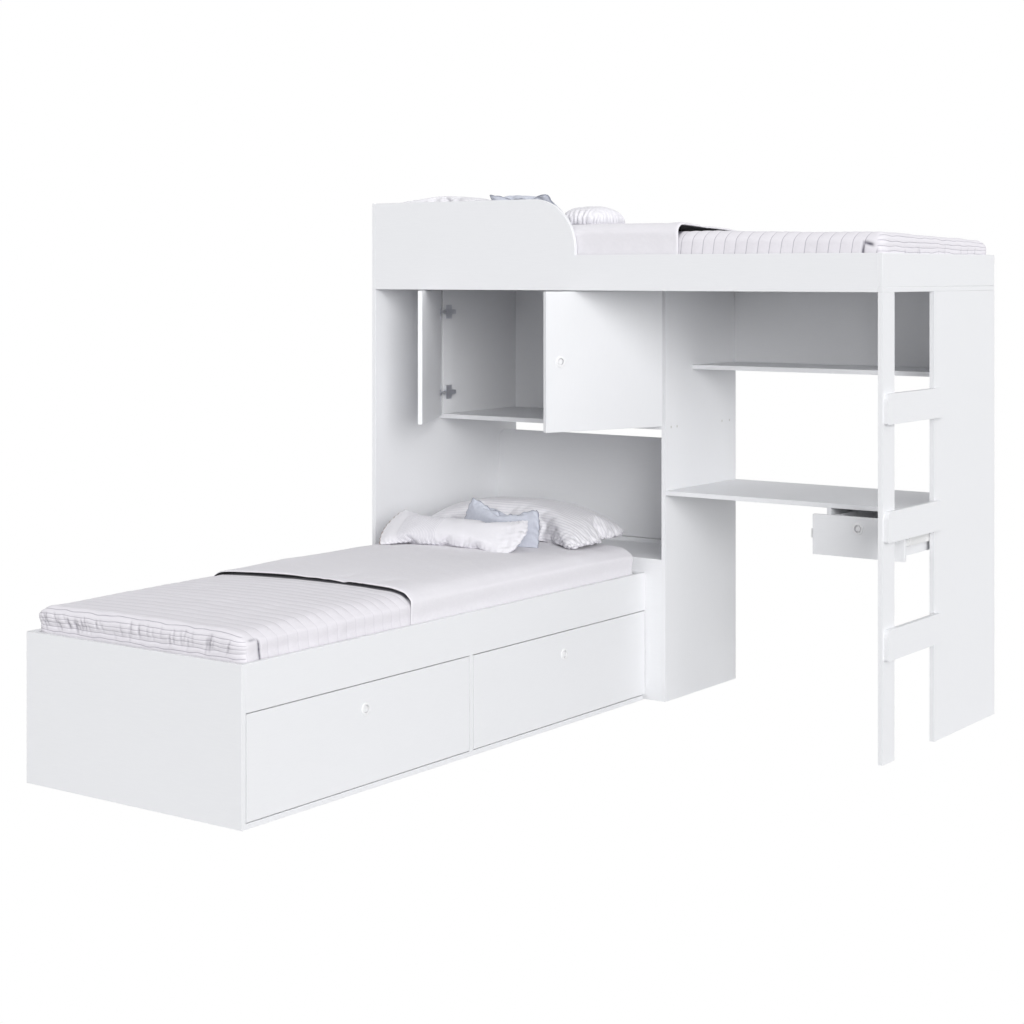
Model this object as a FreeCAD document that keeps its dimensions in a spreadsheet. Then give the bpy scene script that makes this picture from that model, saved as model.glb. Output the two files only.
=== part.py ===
import FreeCAD, Part
import Sketcher
import os
import re

# Loft bed with a desk, a cabinet and a second bed at right angles under it.
#
# Working axes, in millimetres: X runs along the loft from the outer face of its left end panel,
# Y runs back from the loft's front face, Z is up from the floor. Every place below is given in
# these axes, and place() moves it so that the part's origin is the middle of its footprint.

SIZES = [
    # boards
    ("board", 15),
    ("thin_board", 6),
    ("seat_gap", 0.3),
    # loft frame
    ("loft_length", 1915),
    ("loft_depth", 832),
    ("rear_depth", 472),
    ("deck_bottom", 1366),
    ("rail_top", 1480),
    ("guard_top", 1662),
    ("guard_length", 828),
    ("guard_radius", 165),
    ("post_width", 80),
    ("left_bay", 933),
    # ladder
    ("rung_length", 395),
    ("rung_height", 90),
    ("rung_setback", 5),
    ("rung_low", 300),
    ("rung_pitch", 341.5),
    ("rung_top_radius", 25),
    ("rung_low_radius", 6),
    # cabinet, shelf, desk and niche
    ("cabinet_floor_top", 917),
    ("shelf_top", 1112),
    ("shelf_depth", 299),
    ("desk_height", 700),
    ("niche_height", 470),
    ("ledge_setback", 325),
    ("ledge_depth", 40),
    ("headboard_height", 355),
    ("headboard_lean", 4.6),
    ("headboard_radius", 25),
    ("strip_width", 65),
    # cabinet doors and their hinges
    ("door_bottom", 914),
    ("door_top_gap", 3),
    ("door_side_gap", 2),
    ("door_middle_gap", 3),
    ("door_back_gap", 1),
    ("left_door_angle", 60),
    ("right_door_angle", 70),
    ("hinge_inset", 80),
    ("cup_edge", 22),
    ("cup_radius", 17.5),
    ("cup_depth", 12),
    ("cup_wall", 2),
    ("cup_flange_width", 20),
    ("cup_flange_height", 56),
    ("cup_flange_thickness", 0.8),
    ("arm_width", 12),
    ("arm_length", 58),
    ("arm_height", 16),
    ("arm_front_gap", 4),
    ("arm_flange", 2.5),
    ("arm_web", 2),
    ("arm_slot_length", 16),
    ("link_width", 3),
    ("link_plate", 2.2),
    ("link_play", 0.4),
    ("link_face_gap", 0.9),
    ("link_hold", 1.4),
    ("link_seat_hold", 0.76),
    ("link_cup_gap", 1.2),
    ("plate_thickness", 2),
    ("plate_height", 50),
    ("plate_length", 34),
    # round pulls
    ("pull_radius", 18.5),
    ("pull_rim", 2.5),
    ("pull_dish_radius", 11.5),
    ("pull_dish_depth", 9),
    ("pull_boss_radius", 8),
    ("pull_boss_height", 5),
    ("pull_stem_radius", 13),
    ("pull_stem_length", 10),
    ("pull_from_door_edge", 57),
    ("pull_below_top", 70),
    ("desk_pull_below_top", 35),
    # drawer slides
    ("slide_thickness", 13),
    ("slide_height", 32),
    ("slide_wall", 1.5),
    ("slide_gap", 0.3),
    ("slide_front_gap", 4),
    # desk drawer
    ("desk_drawer_width", 304),
    ("desk_drawer_height", 123),
    ("desk_drawer_top_gap", 2),
    ("desk_drawer_depth", 400),
    ("desk_drawer_out", 152),
    ("desk_box_height", 88),
    ("desk_box_lift", 18),
    ("bracket_height", 115),
    ("box_wall", 12),
    ("box_floor", 6),
    ("box_floor_lift", 8),
    # lower bed
    ("bed_offset", 62),
    ("bed_width", 822),
    ("bed_length", 1933),
    ("bed_height", 423),
    ("bed_rail_height", 126),
    ("bed_base_width", 60),
    ("bed_partition_from_head", 954.5),
    ("front_gap", 2.5),
    ("bed_drawer_depth", 500),
    ("bed_box_height", 190),
    ("bed_box_lift", 28),
    ("slat_top", 370),
    ("slat_width", 65),
    ("slat_count", 13),
    ("cleat_size", 20),
    # mattresses and bedding
    ("mattress_thickness", 120),
    ("mattress_radius", 20),
    ("loft_mattress_head_gap", 0.3),
    ("loft_mattress_foot_gap", 4.7),
    ("loft_mattress_side_gap", 11),
    ("lower_mattress_end_gap", 11.5),
    ("lower_mattress_side_gap", 6),
    ("quilt_side", 3),
    ("quilt_drop", 80),
    ("lower_bare_length", 12),
    ("lower_fold_length", 1186),
    ("lower_quilt_thickness", 24),
    ("lower_fold_thickness", 32),
    ("loft_bare_length", 683),
    ("loft_fold_length", 515),
    ("loft_quilt_thickness", 38),
    ("loft_fold_thickness", 72),
    # pillows: long cushion, square cushion and sleeping pillow on the lower bed
    ("long_pillow_length", 570),
    ("long_pillow_width", 140),
    ("long_pillow_height", 97),
    ("long_pillow_from_left", 130),
    ("square_pillow_length", 320),
    ("square_pillow_width", 70),
    ("square_pillow_height", 149),
    ("square_pillow_from_left", 370),
    ("big_pillow_width", 435),
    ("big_pillow_height", 126),
    ("big_pillow_from_left", 35),
    ("big_pillow_right_gap", 138),
    ("pillow_front", 515),
    ("pillow_gap", 5),
    ("pillow_radius", 30),
    # pillows on the loft
    ("loft_pillow_from_head", 14.7),
    ("loft_pillow_from_front", 60),
    ("striped_pillow_length", 420),
    ("striped_pillow_width", 560),
    ("striped_pillow_height", 186),
    ("grey_pillow_length", 240),
    ("grey_pillow_width", 270),
    ("grey_pillow_height", 182),
    ("white_pillow_length", 262),
    ("white_pillow_width", 280),
    ("white_pillow_height", 68),
    ("white_pillow_overhang", 1.6),
    # screws through the panels
    ("screw_radius", 2.5),
    ("screw_head_radius", 4.5),
    ("screw_head_height", 2),
    ("screw_length", 40),
    ("rung_screw_length", 25),
    ("rung_screw_inset", 30),
    ("floor_screw_front", 37),
    ("floor_screw_front_step", 38),
    ("floor_screw_back", 44),
    ("floor_screw_back_step", 52),
]

ALIAS = re.compile(r"\b(" + "|".join(name for name, value in SIZES) + r")\b")
VALUE = dict(SIZES)

doc = FreeCAD.newDocument("LoftBed")
sheet = doc.addObject("Spreadsheet::Sheet", "Sizes")
for row, (name, value) in enumerate(SIZES, start=1):
    sheet.set("A%d" % row, name)
    sheet.set("B%d" % row, str(value))
    sheet.setAlias("B%d" % row, name)
doc.recompute()

# Lines that many pieces share, each written as an expression of the sheet's values.
BAY_FRONT = "(loft_depth - rear_depth)"
BED_FOOT = "(loft_depth - rear_depth - bed_length)"
MIDDLE_X = "(loft_length + board) / 2"
MIDDLE_Y = "(loft_depth + %s) / 2" % BED_FOOT
DECK_TOP = "(deck_bottom + board)"
RIGHT_INNER = "(loft_length - board)"
DIVIDER_X = "(board + left_bay)"
RIGHT_BAY = "(loft_length - 3 * board - left_bay)"
BACK_FACE = "(loft_depth - thin_board)"
CABINET_FLOOR = "(cabinet_floor_top - board)"
DESK_BOTTOM = "(desk_height - board)"

nodes = []


def bound(text):
    """The expression with every size's name turned into its cell of the sheet."""
    return ALIAS.sub(r"Sizes.\1", str(text))


def place(piece, at):
    """Bind a piece's place, given in the working axes, to the sheet."""
    x, y, z = at
    piece.setExpression("Placement.Base.x", bound("%s - %s" % (x, MIDDLE_X)))
    piece.setExpression("Placement.Base.y", bound("%s - (%s)" % (y, MIDDLE_Y)))
    piece.setExpression("Placement.Base.z", bound(z))


def turn(piece, axis, angle):
    """Turn a piece about its own origin, by an angle that the sheet holds."""
    piece.Placement = FreeCAD.Placement(FreeCAD.Vector(), FreeCAD.Rotation(FreeCAD.Vector(*axis), 1))
    piece.setExpression("Placement.Rotation.Angle", bound(angle))


def keep(piece):
    """Mark a finished piece as one that is written out."""
    nodes.append(piece)
    return piece


def box(label, size, at=None):
    """A rectangular board. Without a place it stays at the origin, as a tool for a boolean."""
    piece = doc.addObject("Part::Box", label)
    for side, text in zip(("Length", "Width", "Height"), size):
        piece.setExpression(side, bound(text))
    if at is not None:
        place(piece, at)
    return piece


def offset(piece, at):
    """Bind a tool's place inside its own piece, with no shift to the part's origin."""
    for axis, text in zip("xyz", at):
        piece.setExpression("Placement.Base." + axis, bound(text))
    return piece


def rod(label, radius, length, at, axis):
    """A round rod or hole tool, from a point along +X, -X, +Y or +Z, in its piece's own axes."""
    turns = {
        "+X": ((0, 1, 0), 90),
        "-X": ((0, 1, 0), -90),
        "+Y": ((1, 0, 0), -90),
        "-Y": ((1, 0, 0), 90),
        "+Z": ((0, 0, 1), 0),
    }
    direction, angle = turns[axis]
    piece = doc.addObject("Part::Cylinder", label)
    piece.setExpression("Radius", bound(radius))
    piece.setExpression("Height", bound(length))
    rotation = FreeCAD.Rotation(FreeCAD.Vector(*direction), angle)
    piece.Placement = FreeCAD.Placement(FreeCAD.Vector(), rotation)
    return offset(piece, at)


def joined(label, pieces):
    """Several tools fused into one."""
    whole = doc.addObject("Part::MultiFuse", label)
    whole.Shapes = pieces
    return whole


def cut(label, blank, tools):
    """The blank less its tools."""
    result = doc.addObject("Part::Cut", label)
    result.Base = blank
    result.Tool = tools[0] if len(tools) == 1 else joined(label + "_tools", tools)
    return result


def group(label, pieces):
    """Separate solids that share one node."""
    whole = doc.addObject("Part::Compound", label)
    whole.Links = pieces
    return whole


def origin_plane(body, role):
    """One of a body's own origin planes."""
    return next(item for item in body.Origin.OriginFeatures if item.Role == role)


def outline(sketch, points):
    """A closed outline of straight lines whose corners are bound to the sheet."""
    count = len(points)
    rough = [FreeCAD.Vector(10 + 7 * i, 5 + (i * i) % 11, 0) for i in range(count)]
    for i in range(count):
        sketch.addGeometry(Part.LineSegment(rough[i], rough[(i + 1) % count]), False)
    for i in range(count):
        sketch.addConstraint(Sketcher.Constraint("Coincident", i, 2, (i + 1) % count, 1))
    for i, (across, up) in enumerate(points):
        ways = (("DistanceX", -2, across, rough[i].x), ("DistanceY", -1, up, rough[i].y))
        for kind, axis, text, start in ways:
            if text == "0":
                sketch.addConstraint(Sketcher.Constraint("PointOnObject", i, 1, axis))
            else:
                index = sketch.addConstraint(Sketcher.Constraint(kind, -1, 1, i, 1, start))
                sketch.setExpression("Constraints[%d]" % index, bound(text))


def new_sketch(body, role, points):
    """A sketch of a closed outline on one of a body's own origin planes."""
    sketch = body.newObject("Sketcher::SketchObject", body.Label + "_outline")
    sketch.AttachmentSupport = [(origin_plane(body, role), "")]
    sketch.MapMode = "FlatFace"
    outline(sketch, points)
    return sketch


def padded_body(label, role, points, thickness):
    """A board with a shaped outline, padded from one of its body's origin planes to +X, +Y or +Z."""
    body = doc.addObject("PartDesign::Body", label)
    sketch = new_sketch(body, role, points)
    pad = body.newObject("PartDesign::Pad", label + "_pad")
    pad.Profile = sketch
    pad.Reversed = role == "XZ_Plane"
    pad.setExpression("Length", bound(thickness))
    doc.recompute()
    return body


def rectangle(length, width):
    """The corners of a rectangle from the origin."""
    return [("0", "0"), (length, "0"), (length, width), ("0", width)]


def round_edges(body, radius, chosen):
    """Fillet the edges of a body's tip whose middle passes the test."""
    tip = body.Tip
    names = [
        "Edge%d" % (i + 1)
        for i, edge in enumerate(tip.Shape.Edges)
        if chosen(edge)
    ]
    fillet = body.newObject("PartDesign::Fillet", body.Label + "_fillet_%d" % len(body.Group))
    fillet.Base = (tip, names)
    fillet.setExpression("Radius", bound(radius))
    body.Tip = fillet
    doc.recompute()
    return body


def upright_at(direction, across, up):
    """A test for the straight edges along a direction that pass through a corner of the outline."""
    plane = [axis for axis in range(3) if axis != direction]

    def chosen(edge):
        middle = edge.CenterOfMass
        ends = edge.BoundBox
        spans = (ends.XLength, ends.YLength, ends.ZLength)
        along = spans[direction] > 1 and max(spans[axis] for axis in plane) < 0.01
        near = abs(middle[plane[0]] - across) < 0.1 and abs(middle[plane[1]] - up) < 0.1
        return along and near

    return chosen


def every_edge(edge):
    """A test that takes all edges."""
    return True


# ---------------------------------------------------------------- loft frame


# Screw places: along the cabinet's floor from its front edge, and up each rung from its lower edge.
FLOOR_SCREW_Y = [
    "floor_screw_front",
    "floor_screw_front + floor_screw_front_step",
    "rear_depth - floor_screw_back - floor_screw_back_step",
    "rear_depth - floor_screw_back",
]
FLOOR_SCREW_Z = "cabinet_floor_top - board / 2"
RUNG_SCREW_Z = ["rung_screw_inset", "rung_height - rung_screw_inset"]
RUNG_SCREW_Y = {"post": "post_width / 2", "rear": BAY_FRONT + " + board"}
RUNG_COUNT = 3


def rung_holes(label, end, length, shift):
    """Hole tools along +X for the rungs' screws in the post or the right rear panel."""
    tools = []
    for rung in range(RUNG_COUNT):
        for number, up in enumerate(RUNG_SCREW_Z):
            z = "rung_low + %d * rung_pitch + %s" % (rung, up)
            at = ("0", RUNG_SCREW_Y[end] + shift, z)
            tools.append(rod("%s_hole_%d_%d" % (label, rung, number), "screw_radius", length, at, "+X"))
    return tools


def end_and_middle_panels():
    """The four upright boards that carry the loft."""
    keep(box("left_end_panel", ("board", "loft_depth", "guard_top"), ("0", "0", "0")))
    blank = box("divider_blank", ("board", "rear_depth", "deck_bottom"))
    holes = []
    for number, y in enumerate(FLOOR_SCREW_Y):
        at = ("board", y, FLOOR_SCREW_Z)
        holes.append(rod("divider_hole_%d" % number, "screw_radius", "board", at, "-X"))
        holes.append(rod("divider_sink_%d" % number, "screw_head_radius", "screw_head_height", at, "-X"))
    divider = cut("divider_panel", blank, holes)
    place(divider, (DIVIDER_X, BAY_FRONT, "0"))
    keep(divider)
    rear = box("right_rear_blank", ("board", "rear_depth", "deck_bottom"))
    rear_panel = cut("right_rear_panel", rear, rung_holes("rear", "rear", "board", " - " + BAY_FRONT))
    place(rear_panel, (RIGHT_INNER, BAY_FRONT, "0"))
    keep(rear_panel)
    post = box("ladder_post_blank", ("board", "post_width", "deck_bottom"))
    post_panel = cut("ladder_post", post, rung_holes("post", "post", "board", ""))
    place(post_panel, (RIGHT_INNER, "0", "0"))
    keep(post_panel)


def rungs():
    """Three ladder boards across the post and the right rear panel, with large upper corners."""
    depth = "rung_screw_length - board"
    length, height = VALUE["rung_length"], VALUE["rung_height"]
    boards = []
    for rung in range(RUNG_COUNT):
        label = "ladder_rung_%d" % (rung + 1)
        body = padded_body(label + "_board", "YZ_Plane", rectangle("rung_length", "rung_height"), "board")
        for across in (0, length):
            round_edges(body, "rung_top_radius", upright_at(0, across, height))
            round_edges(body, "rung_low_radius", upright_at(0, across, 0))
        holes = []
        for end, across in RUNG_SCREW_Y.items():
            for number, up in enumerate(RUNG_SCREW_Z):
                at = ("0", across + " - rung_setback", up)
                holes.append(rod("%s_%s_%d" % (label, end, number), "screw_radius", depth, at, "+X"))
        board = cut(label, body, holes)
        place(board, ("loft_length", "rung_setback", "rung_low + %d * rung_pitch" % rung))
        boards.append(board)
    keep(group("ladder_rungs", boards))


def rails_and_deck():
    """The deck with the rails that stand round it; the front rail rises to a guard at the left."""
    inner_length = "(loft_length - 2 * board)"
    corners = [
        ("0", "0"),
        (inner_length, "0"),
        (inner_length, "rail_top - deck_bottom"),
        ("guard_length", "rail_top - deck_bottom"),
        ("guard_length", "guard_top - deck_bottom"),
        ("0", "guard_top - deck_bottom"),
    ]
    rail = padded_body("front_guard_rail", "XZ_Plane", corners, "board")
    guard_corner = upright_at(1, VALUE["guard_length"], VALUE["guard_top"] - VALUE["deck_bottom"])
    round_edges(rail, "guard_radius", guard_corner)
    place(rail, ("board", "0", "deck_bottom"))
    keep(rail)
    corners = [
        ("0", "board"),
        (inner_length, "board"),
        (inner_length, "0"),
        (inner_length + " + board", "0"),
        (inner_length + " + board", "loft_depth"),
        ("0", "loft_depth"),
    ]
    deck = padded_body("loft_deck", "XY_Plane", corners, "board")
    place(deck, ("board", "0", "deck_bottom"))
    keep(deck)
    rail_height = "rail_top - " + DECK_TOP
    keep(box("back_rail", (inner_length, "board", rail_height), ("board", "loft_depth - board", DECK_TOP)))
    keep(box("right_end_rail", ("board", "loft_depth", rail_height), (RIGHT_INNER, "0", DECK_TOP)))


def shelves_and_backs():
    """The cabinet's floor and back, the shelf and its back, the desk top and the niche's boards."""
    floor_blank = box("cabinet_floor_blank", ("left_bay", "rear_depth - thin_board", "board"))
    depth = "(screw_length - board)"
    holes = [
        rod("floor_hole_%d" % number, "screw_radius", depth, ("left_bay", y, "board / 2"), "-X")
        for number, y in enumerate(FLOOR_SCREW_Y)
    ]
    floor = cut("cabinet_floor", floor_blank, holes)
    place(floor, ("board", BAY_FRONT, CABINET_FLOOR))
    keep(floor)
    cabinet_height = "deck_bottom - %s" % CABINET_FLOOR
    keep(
        box(
            "cabinet_back_panel",
            ("left_bay", "thin_board", cabinet_height),
            ("board", BACK_FACE, CABINET_FLOOR),
        )
    )
    keep(
        box(
            "hinge_strip",
            ("board", "strip_width", "deck_bottom - cabinet_floor_top"),
            ("board", BAY_FRONT, "cabinet_floor_top"),
        )
    )
    right_x = "2 * board + left_bay"
    keep(
        box(
            "upper_shelf",
            (RIGHT_BAY, "shelf_depth - thin_board", "board"),
            (right_x, "loft_depth - shelf_depth", "shelf_top - board"),
        )
    )
    keep(
        box(
            "shelf_back_panel",
            (RIGHT_BAY, "thin_board", "deck_bottom - (shelf_top - board)"),
            (right_x, BACK_FACE, "shelf_top - board"),
        )
    )
    keep(box("desk_top", (RIGHT_BAY, "rear_depth", "board"), (right_x, BAY_FRONT, DESK_BOTTOM)))
    keep(box("niche_front_panel", ("left_bay", "board", "niche_height"), ("board", BAY_FRONT, "0")))
    keep(
        box(
            "niche_shelf",
            ("left_bay", "rear_depth - board", "board"),
            ("board", BAY_FRONT + " + board", "niche_height - board"),
        )
    )
    keep(
        box(
            "headboard_ledge",
            ("left_bay", "ledge_depth", "board"),
            ("board", BAY_FRONT + " + ledge_setback", "niche_height"),
        )
    )


def headboard():
    """The board behind the lower bed's head, leaning back on its ledge, with rounded upper corners."""
    body = padded_body("headboard_panel", "XZ_Plane", rectangle("left_bay", "headboard_height"), "board")
    for across in (0, VALUE["left_bay"]):
        round_edges(body, "headboard_radius", upright_at(1, across, VALUE["headboard_height"]))
    turn(body, (-1, 0, 0), "headboard_lean")
    foot = "niche_height + board + board * sin(headboard_lean * 1 deg)"
    place(body, ("board", BAY_FRONT + " + ledge_setback + board", foot))
    keep(body)


def panel_screws():
    """Countersunk screws through the divider into the cabinet's floor, and through the post and the
    right rear panel into the rungs."""
    screws = []
    start = ("0", "0", "0")
    for number, y in enumerate(FLOOR_SCREW_Y):
        tag = "floor_screw_%d" % number
        shank = rod(tag + "_shank", "screw_radius", "screw_length", start, "-X")
        head = rod(tag + "_head", "screw_head_radius", "screw_head_height", start, "-X")
        screw = joined(tag, [shank, head])
        place(screw, ("2 * board + left_bay", "%s + %s" % (BAY_FRONT, y), FLOOR_SCREW_Z))
        screws.append(screw)
    for rung in range(RUNG_COUNT):
        for number, up in enumerate(RUNG_SCREW_Z):
            for end, across in RUNG_SCREW_Y.items():
                tag = "rung_screw_%s_%d_%d" % (end, rung, number)
                screw = rod(tag, "screw_radius", "rung_screw_length", start, "+X")
                place(screw, (RIGHT_INNER, across, "rung_low + %d * rung_pitch + %s" % (rung, up)))
                screws.append(screw)
    keep(group("panel_screws", screws))


# ---------------------------------------------------------------- pulls, doors and hinges


def pull(label, face):
    """A round pull with a dished middle and a small boss, turned to look along -Y or +X. Its stem's
    end is at its own origin, and its rim starts a stem's length out, on the board's face."""
    body = doc.addObject("PartDesign::Body", label)
    rim = "pull_stem_length + pull_rim"
    dish = rim + " - pull_dish_depth"
    points = [
        ("0", "0"),
        ("pull_stem_radius", "0"),
        ("pull_stem_radius", "pull_stem_length"),
        ("pull_radius", "pull_stem_length"),
        ("pull_radius - pull_rim / 2", rim),
        ("pull_dish_radius", rim),
        ("pull_dish_radius", dish),
        ("pull_boss_radius", dish),
        ("pull_boss_radius", dish + " + pull_boss_height"),
        ("0", dish + " + pull_boss_height"),
    ]
    sketch = new_sketch(body, "XZ_Plane", points)
    spin = body.newObject("PartDesign::Revolution", label + "_revolution")
    spin.Profile = sketch
    spin.ReferenceAxis = (sketch, ["V_Axis"])
    spin.Angle = 360
    doc.recompute()
    direction = {"-Y": (1, 0, 0), "+X": (0, 1, 0)}[face]
    body.Placement = FreeCAD.Placement(FreeCAD.Vector(), FreeCAD.Rotation(FreeCAD.Vector(*direction), 90))
    return body


DOOR_WIDTH = "((left_bay + board - 2 * door_side_gap - door_middle_gap) / 2)"
DOOR_HEIGHT = "(deck_bottom - door_top_gap - door_bottom)"
DOOR_Y = "(%s - door_back_gap - board)" % BAY_FRONT
HINGE_Z = ["hinge_inset", DOOR_HEIGHT + " - hinge_inset"]


# A hinge's bars bend round the hinge line: from inside the cup, past the side board's face, into the
# mouth of the arm. Their angles are measured from the shut door's direction.
LINK_ACROSS = "(board - door_side_gap + link_face_gap)"
LINK_BACK = "(board + door_back_gap + arm_front_gap + link_hold)"
LINK_INSIDE = "sqrt(%s * %s + %s * %s)" % (LINK_ACROSS, LINK_ACROSS, LINK_BACK, LINK_BACK)
LINK_RADIUS = "(%s + link_width / 2)" % LINK_INSIDE
LINK_HIGH_ANGLE = "(atan(%s / %s) / 1 deg)" % (LINK_BACK, LINK_ACROSS)
LINK_LOW_ANGLE = "(asin((board - cup_depth + cup_wall + link_cup_gap) / %s) / 1 deg)" % LINK_INSIDE
LINK_SEAT_ANGLE = "(asin((board - cup_depth + link_seat_hold) / %s) / 1 deg)" % LINK_RADIUS


# Half heights of a hinge's nested bars, from its middle outwards: the cup's bar, then the two links,
# then the two bars of the arm.
ARM_INNER = "(arm_height / 2 - arm_flange)"
LINK_OUTER = "(%s - link_play)" % ARM_INNER
LINK_INNER = "(%s - link_plate)" % LINK_OUTER
CUP_BAR = "(%s - link_play)" % LINK_INNER


def bent_bar(label, sign, low, thickness):
    """A flat bar bent round the hinge line, from the angle low up to the highest one. sign is +1
    where the door runs to +X."""
    outer = doc.addObject("Part::Cylinder", label + "_outer")
    outer.setExpression("Radius", bound(LINK_RADIUS + " + link_width / 2"))
    outer.setExpression("Height", bound(thickness))
    outer.setExpression("Angle", bound("%s - %s" % (LINK_HIGH_ANGLE, low)))
    inner = rod(label + "_inner", LINK_INSIDE, thickness, ("0", "0", "0"), "+Z")
    bar = cut(label, outer, [inner])
    turn(bar, (0, 0, 1), low if sign > 0 else "180 - " + LINK_HIGH_ANGLE)
    return bar


def hinge_cup(tag, sign, z):
    """A hinge's cup with its flange and its bar, let into a door whose inner face is one board from
    zero."""
    centre_x = "(%d) * cup_edge" % sign
    shell = rod(tag + "_shell", "cup_radius", "cup_depth", (centre_x, "board", z), "-Y")
    flange = offset(
        box(tag + "_flange", ("cup_flange_width", "cup_flange_thickness", "cup_flange_height")),
        (centre_x + " - cup_flange_width / 2", "board", z + " - cup_flange_height / 2"),
    )
    depth = "cup_depth - cup_wall + cup_flange_thickness"
    mouth = (centre_x, "board + cup_flange_thickness", z)
    hollow = rod(tag + "_hollow", "cup_radius - cup_wall", depth, mouth, "-Y")
    cup = cut(tag + "_cup", joined(tag + "_body", [shell, flange]), [hollow])
    bar = bent_bar(tag + "_bar", sign, LINK_SEAT_ANGLE, "2 * " + CUP_BAR)
    offset(bar, ("0", "0", "%s - %s" % (z, CUP_BAR)))
    return joined(tag, [cup, bar])


def hinge_links(side, sign):
    """The two hinges' links, each a pair of bent bars on either side of the cup's bar."""
    bars = []
    for number, z in enumerate(HINGE_Z):
        for name, low in (("upper", z + " + " + LINK_INNER), ("lower", z + " - " + LINK_OUTER)):
            label = "%s_link_%d_%s" % (side, number, name)
            bar = bent_bar(label, sign, LINK_LOW_ANGLE, "link_plate")
            bars.append(offset(bar, ("0", "0", low)))
    return group(side + "_hinge_links", bars)


def door(side, sign, pivot_x, angle):
    """One cabinet door with its pull and its two hinge cups, swung open by its resting angle, and the
    links, which turn half as far. Its own axes have the hinge corner of the outer face at zero."""
    start = "0" if sign > 0 else "-" + DOOR_WIDTH
    pull_x = "(%d) * (%s - pull_from_door_edge)" % (sign, DOOR_WIDTH)
    pull_z = DOOR_HEIGHT + " / 2"
    blank = offset(box(side + "_door_blank", (DOOR_WIDTH, "board", DOOR_HEIGHT)), (start, "0", "0"))
    pull_at = (pull_x, "0", pull_z)
    tools = [rod(side + "_door_pull_hole", "pull_stem_radius", "pull_stem_length", pull_at, "+Y")]
    cups = []
    for number, z in enumerate(HINGE_Z):
        tag = "%s_cup_%d" % (side, number)
        cup_at = ("(%d) * cup_edge" % sign, "board", z)
        tools.append(rod(tag + "_hole", "cup_radius", "cup_depth", cup_at, "-Y"))
        cups.append(hinge_cup(tag, sign, z))
    board = cut(side + "_door", blank, tools)
    knob = offset(pull(side + "_door_knob", "-Y"), (pull_x, "pull_stem_length", pull_z))
    pieces = [
        (board, angle),
        (group(side + "_door_hinge_cups", cups), angle),
        (group(side + "_door_pull", [knob]), angle),
        (hinge_links(side, sign), angle + " / 2"),
    ]
    for piece, swing in pieces:
        turn(piece, (0, 0, -sign), swing)
        place(piece, (pivot_x, DOOR_Y, "door_bottom"))
        keep(piece)


LEFT_PIVOT = "(board + door_side_gap)"
RIGHT_PIVOT = "(%s + board - door_side_gap)" % DIVIDER_X


def doors():
    """The cabinet's two doors."""
    door("left", 1, LEFT_PIVOT, "left_door_angle")
    door("right", -1, RIGHT_PIVOT, "right_door_angle")


def hinge_arm(tag, sign, face, pivot_x, level):
    """The fixed half of a hinge: a plate screwed to a side board's face, a channel that runs forward
    on it, and the two bent bars at the channel's mouth."""
    arm_x = face if sign > 0 else face + " - arm_width"
    slot_x = face if sign > 0 else face + " - arm_width + arm_web"
    plate_x = face if sign > 0 else face + " - plate_thickness"
    arm_y = BAY_FRONT + " + arm_front_gap"
    arm_size = ("arm_width", "arm_length", "arm_height")
    blank = box(tag + "_blank", arm_size, (arm_x, arm_y, level + " - arm_height / 2"))
    slot_size = ("arm_width - arm_web", "arm_slot_length", "2 * " + ARM_INNER)
    slot = box(tag + "_slot", slot_size, (slot_x, arm_y, level + " - " + ARM_INNER))
    channel_part = cut(tag + "_channel", blank, [slot])
    plate = box(
        tag + "_plate",
        ("plate_thickness", "plate_length", "plate_height"),
        (plate_x, arm_y + " + arm_length / 2 - plate_length / 2", level + " - plate_height / 2"),
    )
    bars = []
    for name, low in (("upper", level + " + " + ARM_INNER), ("lower", level + " - arm_height / 2")):
        bar = bent_bar("%s_%s" % (tag, name), sign, LINK_LOW_ANGLE, "arm_flange")
        place(bar, (pivot_x, DOOR_Y, low))
        bars.append(bar)
    return joined(tag, [channel_part, plate] + bars)


def hinge_arms():
    """The arms on the hinge strip and on the divider."""
    arms = []
    sides = (("left", 1, "(2 * board)", LEFT_PIVOT), ("right", -1, DIVIDER_X, RIGHT_PIVOT))
    for side, sign, face, pivot_x in sides:
        for number, z in enumerate(HINGE_Z):
            arms.append(hinge_arm("%s_arm_%d" % (side, number), sign, face, pivot_x, "door_bottom + " + z))
    keep(group("hinge_arms", arms))


# ---------------------------------------------------------------- drawers and slides


def channel(label, length, along, open_towards):
    """The fixed half of a slide: a C channel from zero, along X or Y, open across it to + or -."""
    inner = "slide_height - 2 * slide_wall"
    shift = "slide_wall" if open_towards == "+" else "-slide_wall"
    if along == "Y":
        blank = box(label + "_blank", ("slide_thickness", length, "slide_height"))
        hollow = box(label + "_hollow", ("slide_thickness", length, inner))
        offset(hollow, (shift, "0", "slide_wall"))
    else:
        blank = box(label + "_blank", (length, "slide_thickness", "slide_height"))
        hollow = box(label + "_hollow", (length, "slide_thickness", inner))
        offset(hollow, ("0", shift, "slide_wall"))
    return cut(label, blank, [hollow])


RUNNER_THICKNESS = "(slide_thickness - slide_wall - slide_gap)"
RUNNER_HEIGHT = "(slide_height - 2 * slide_wall - 2 * slide_gap)"


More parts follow.
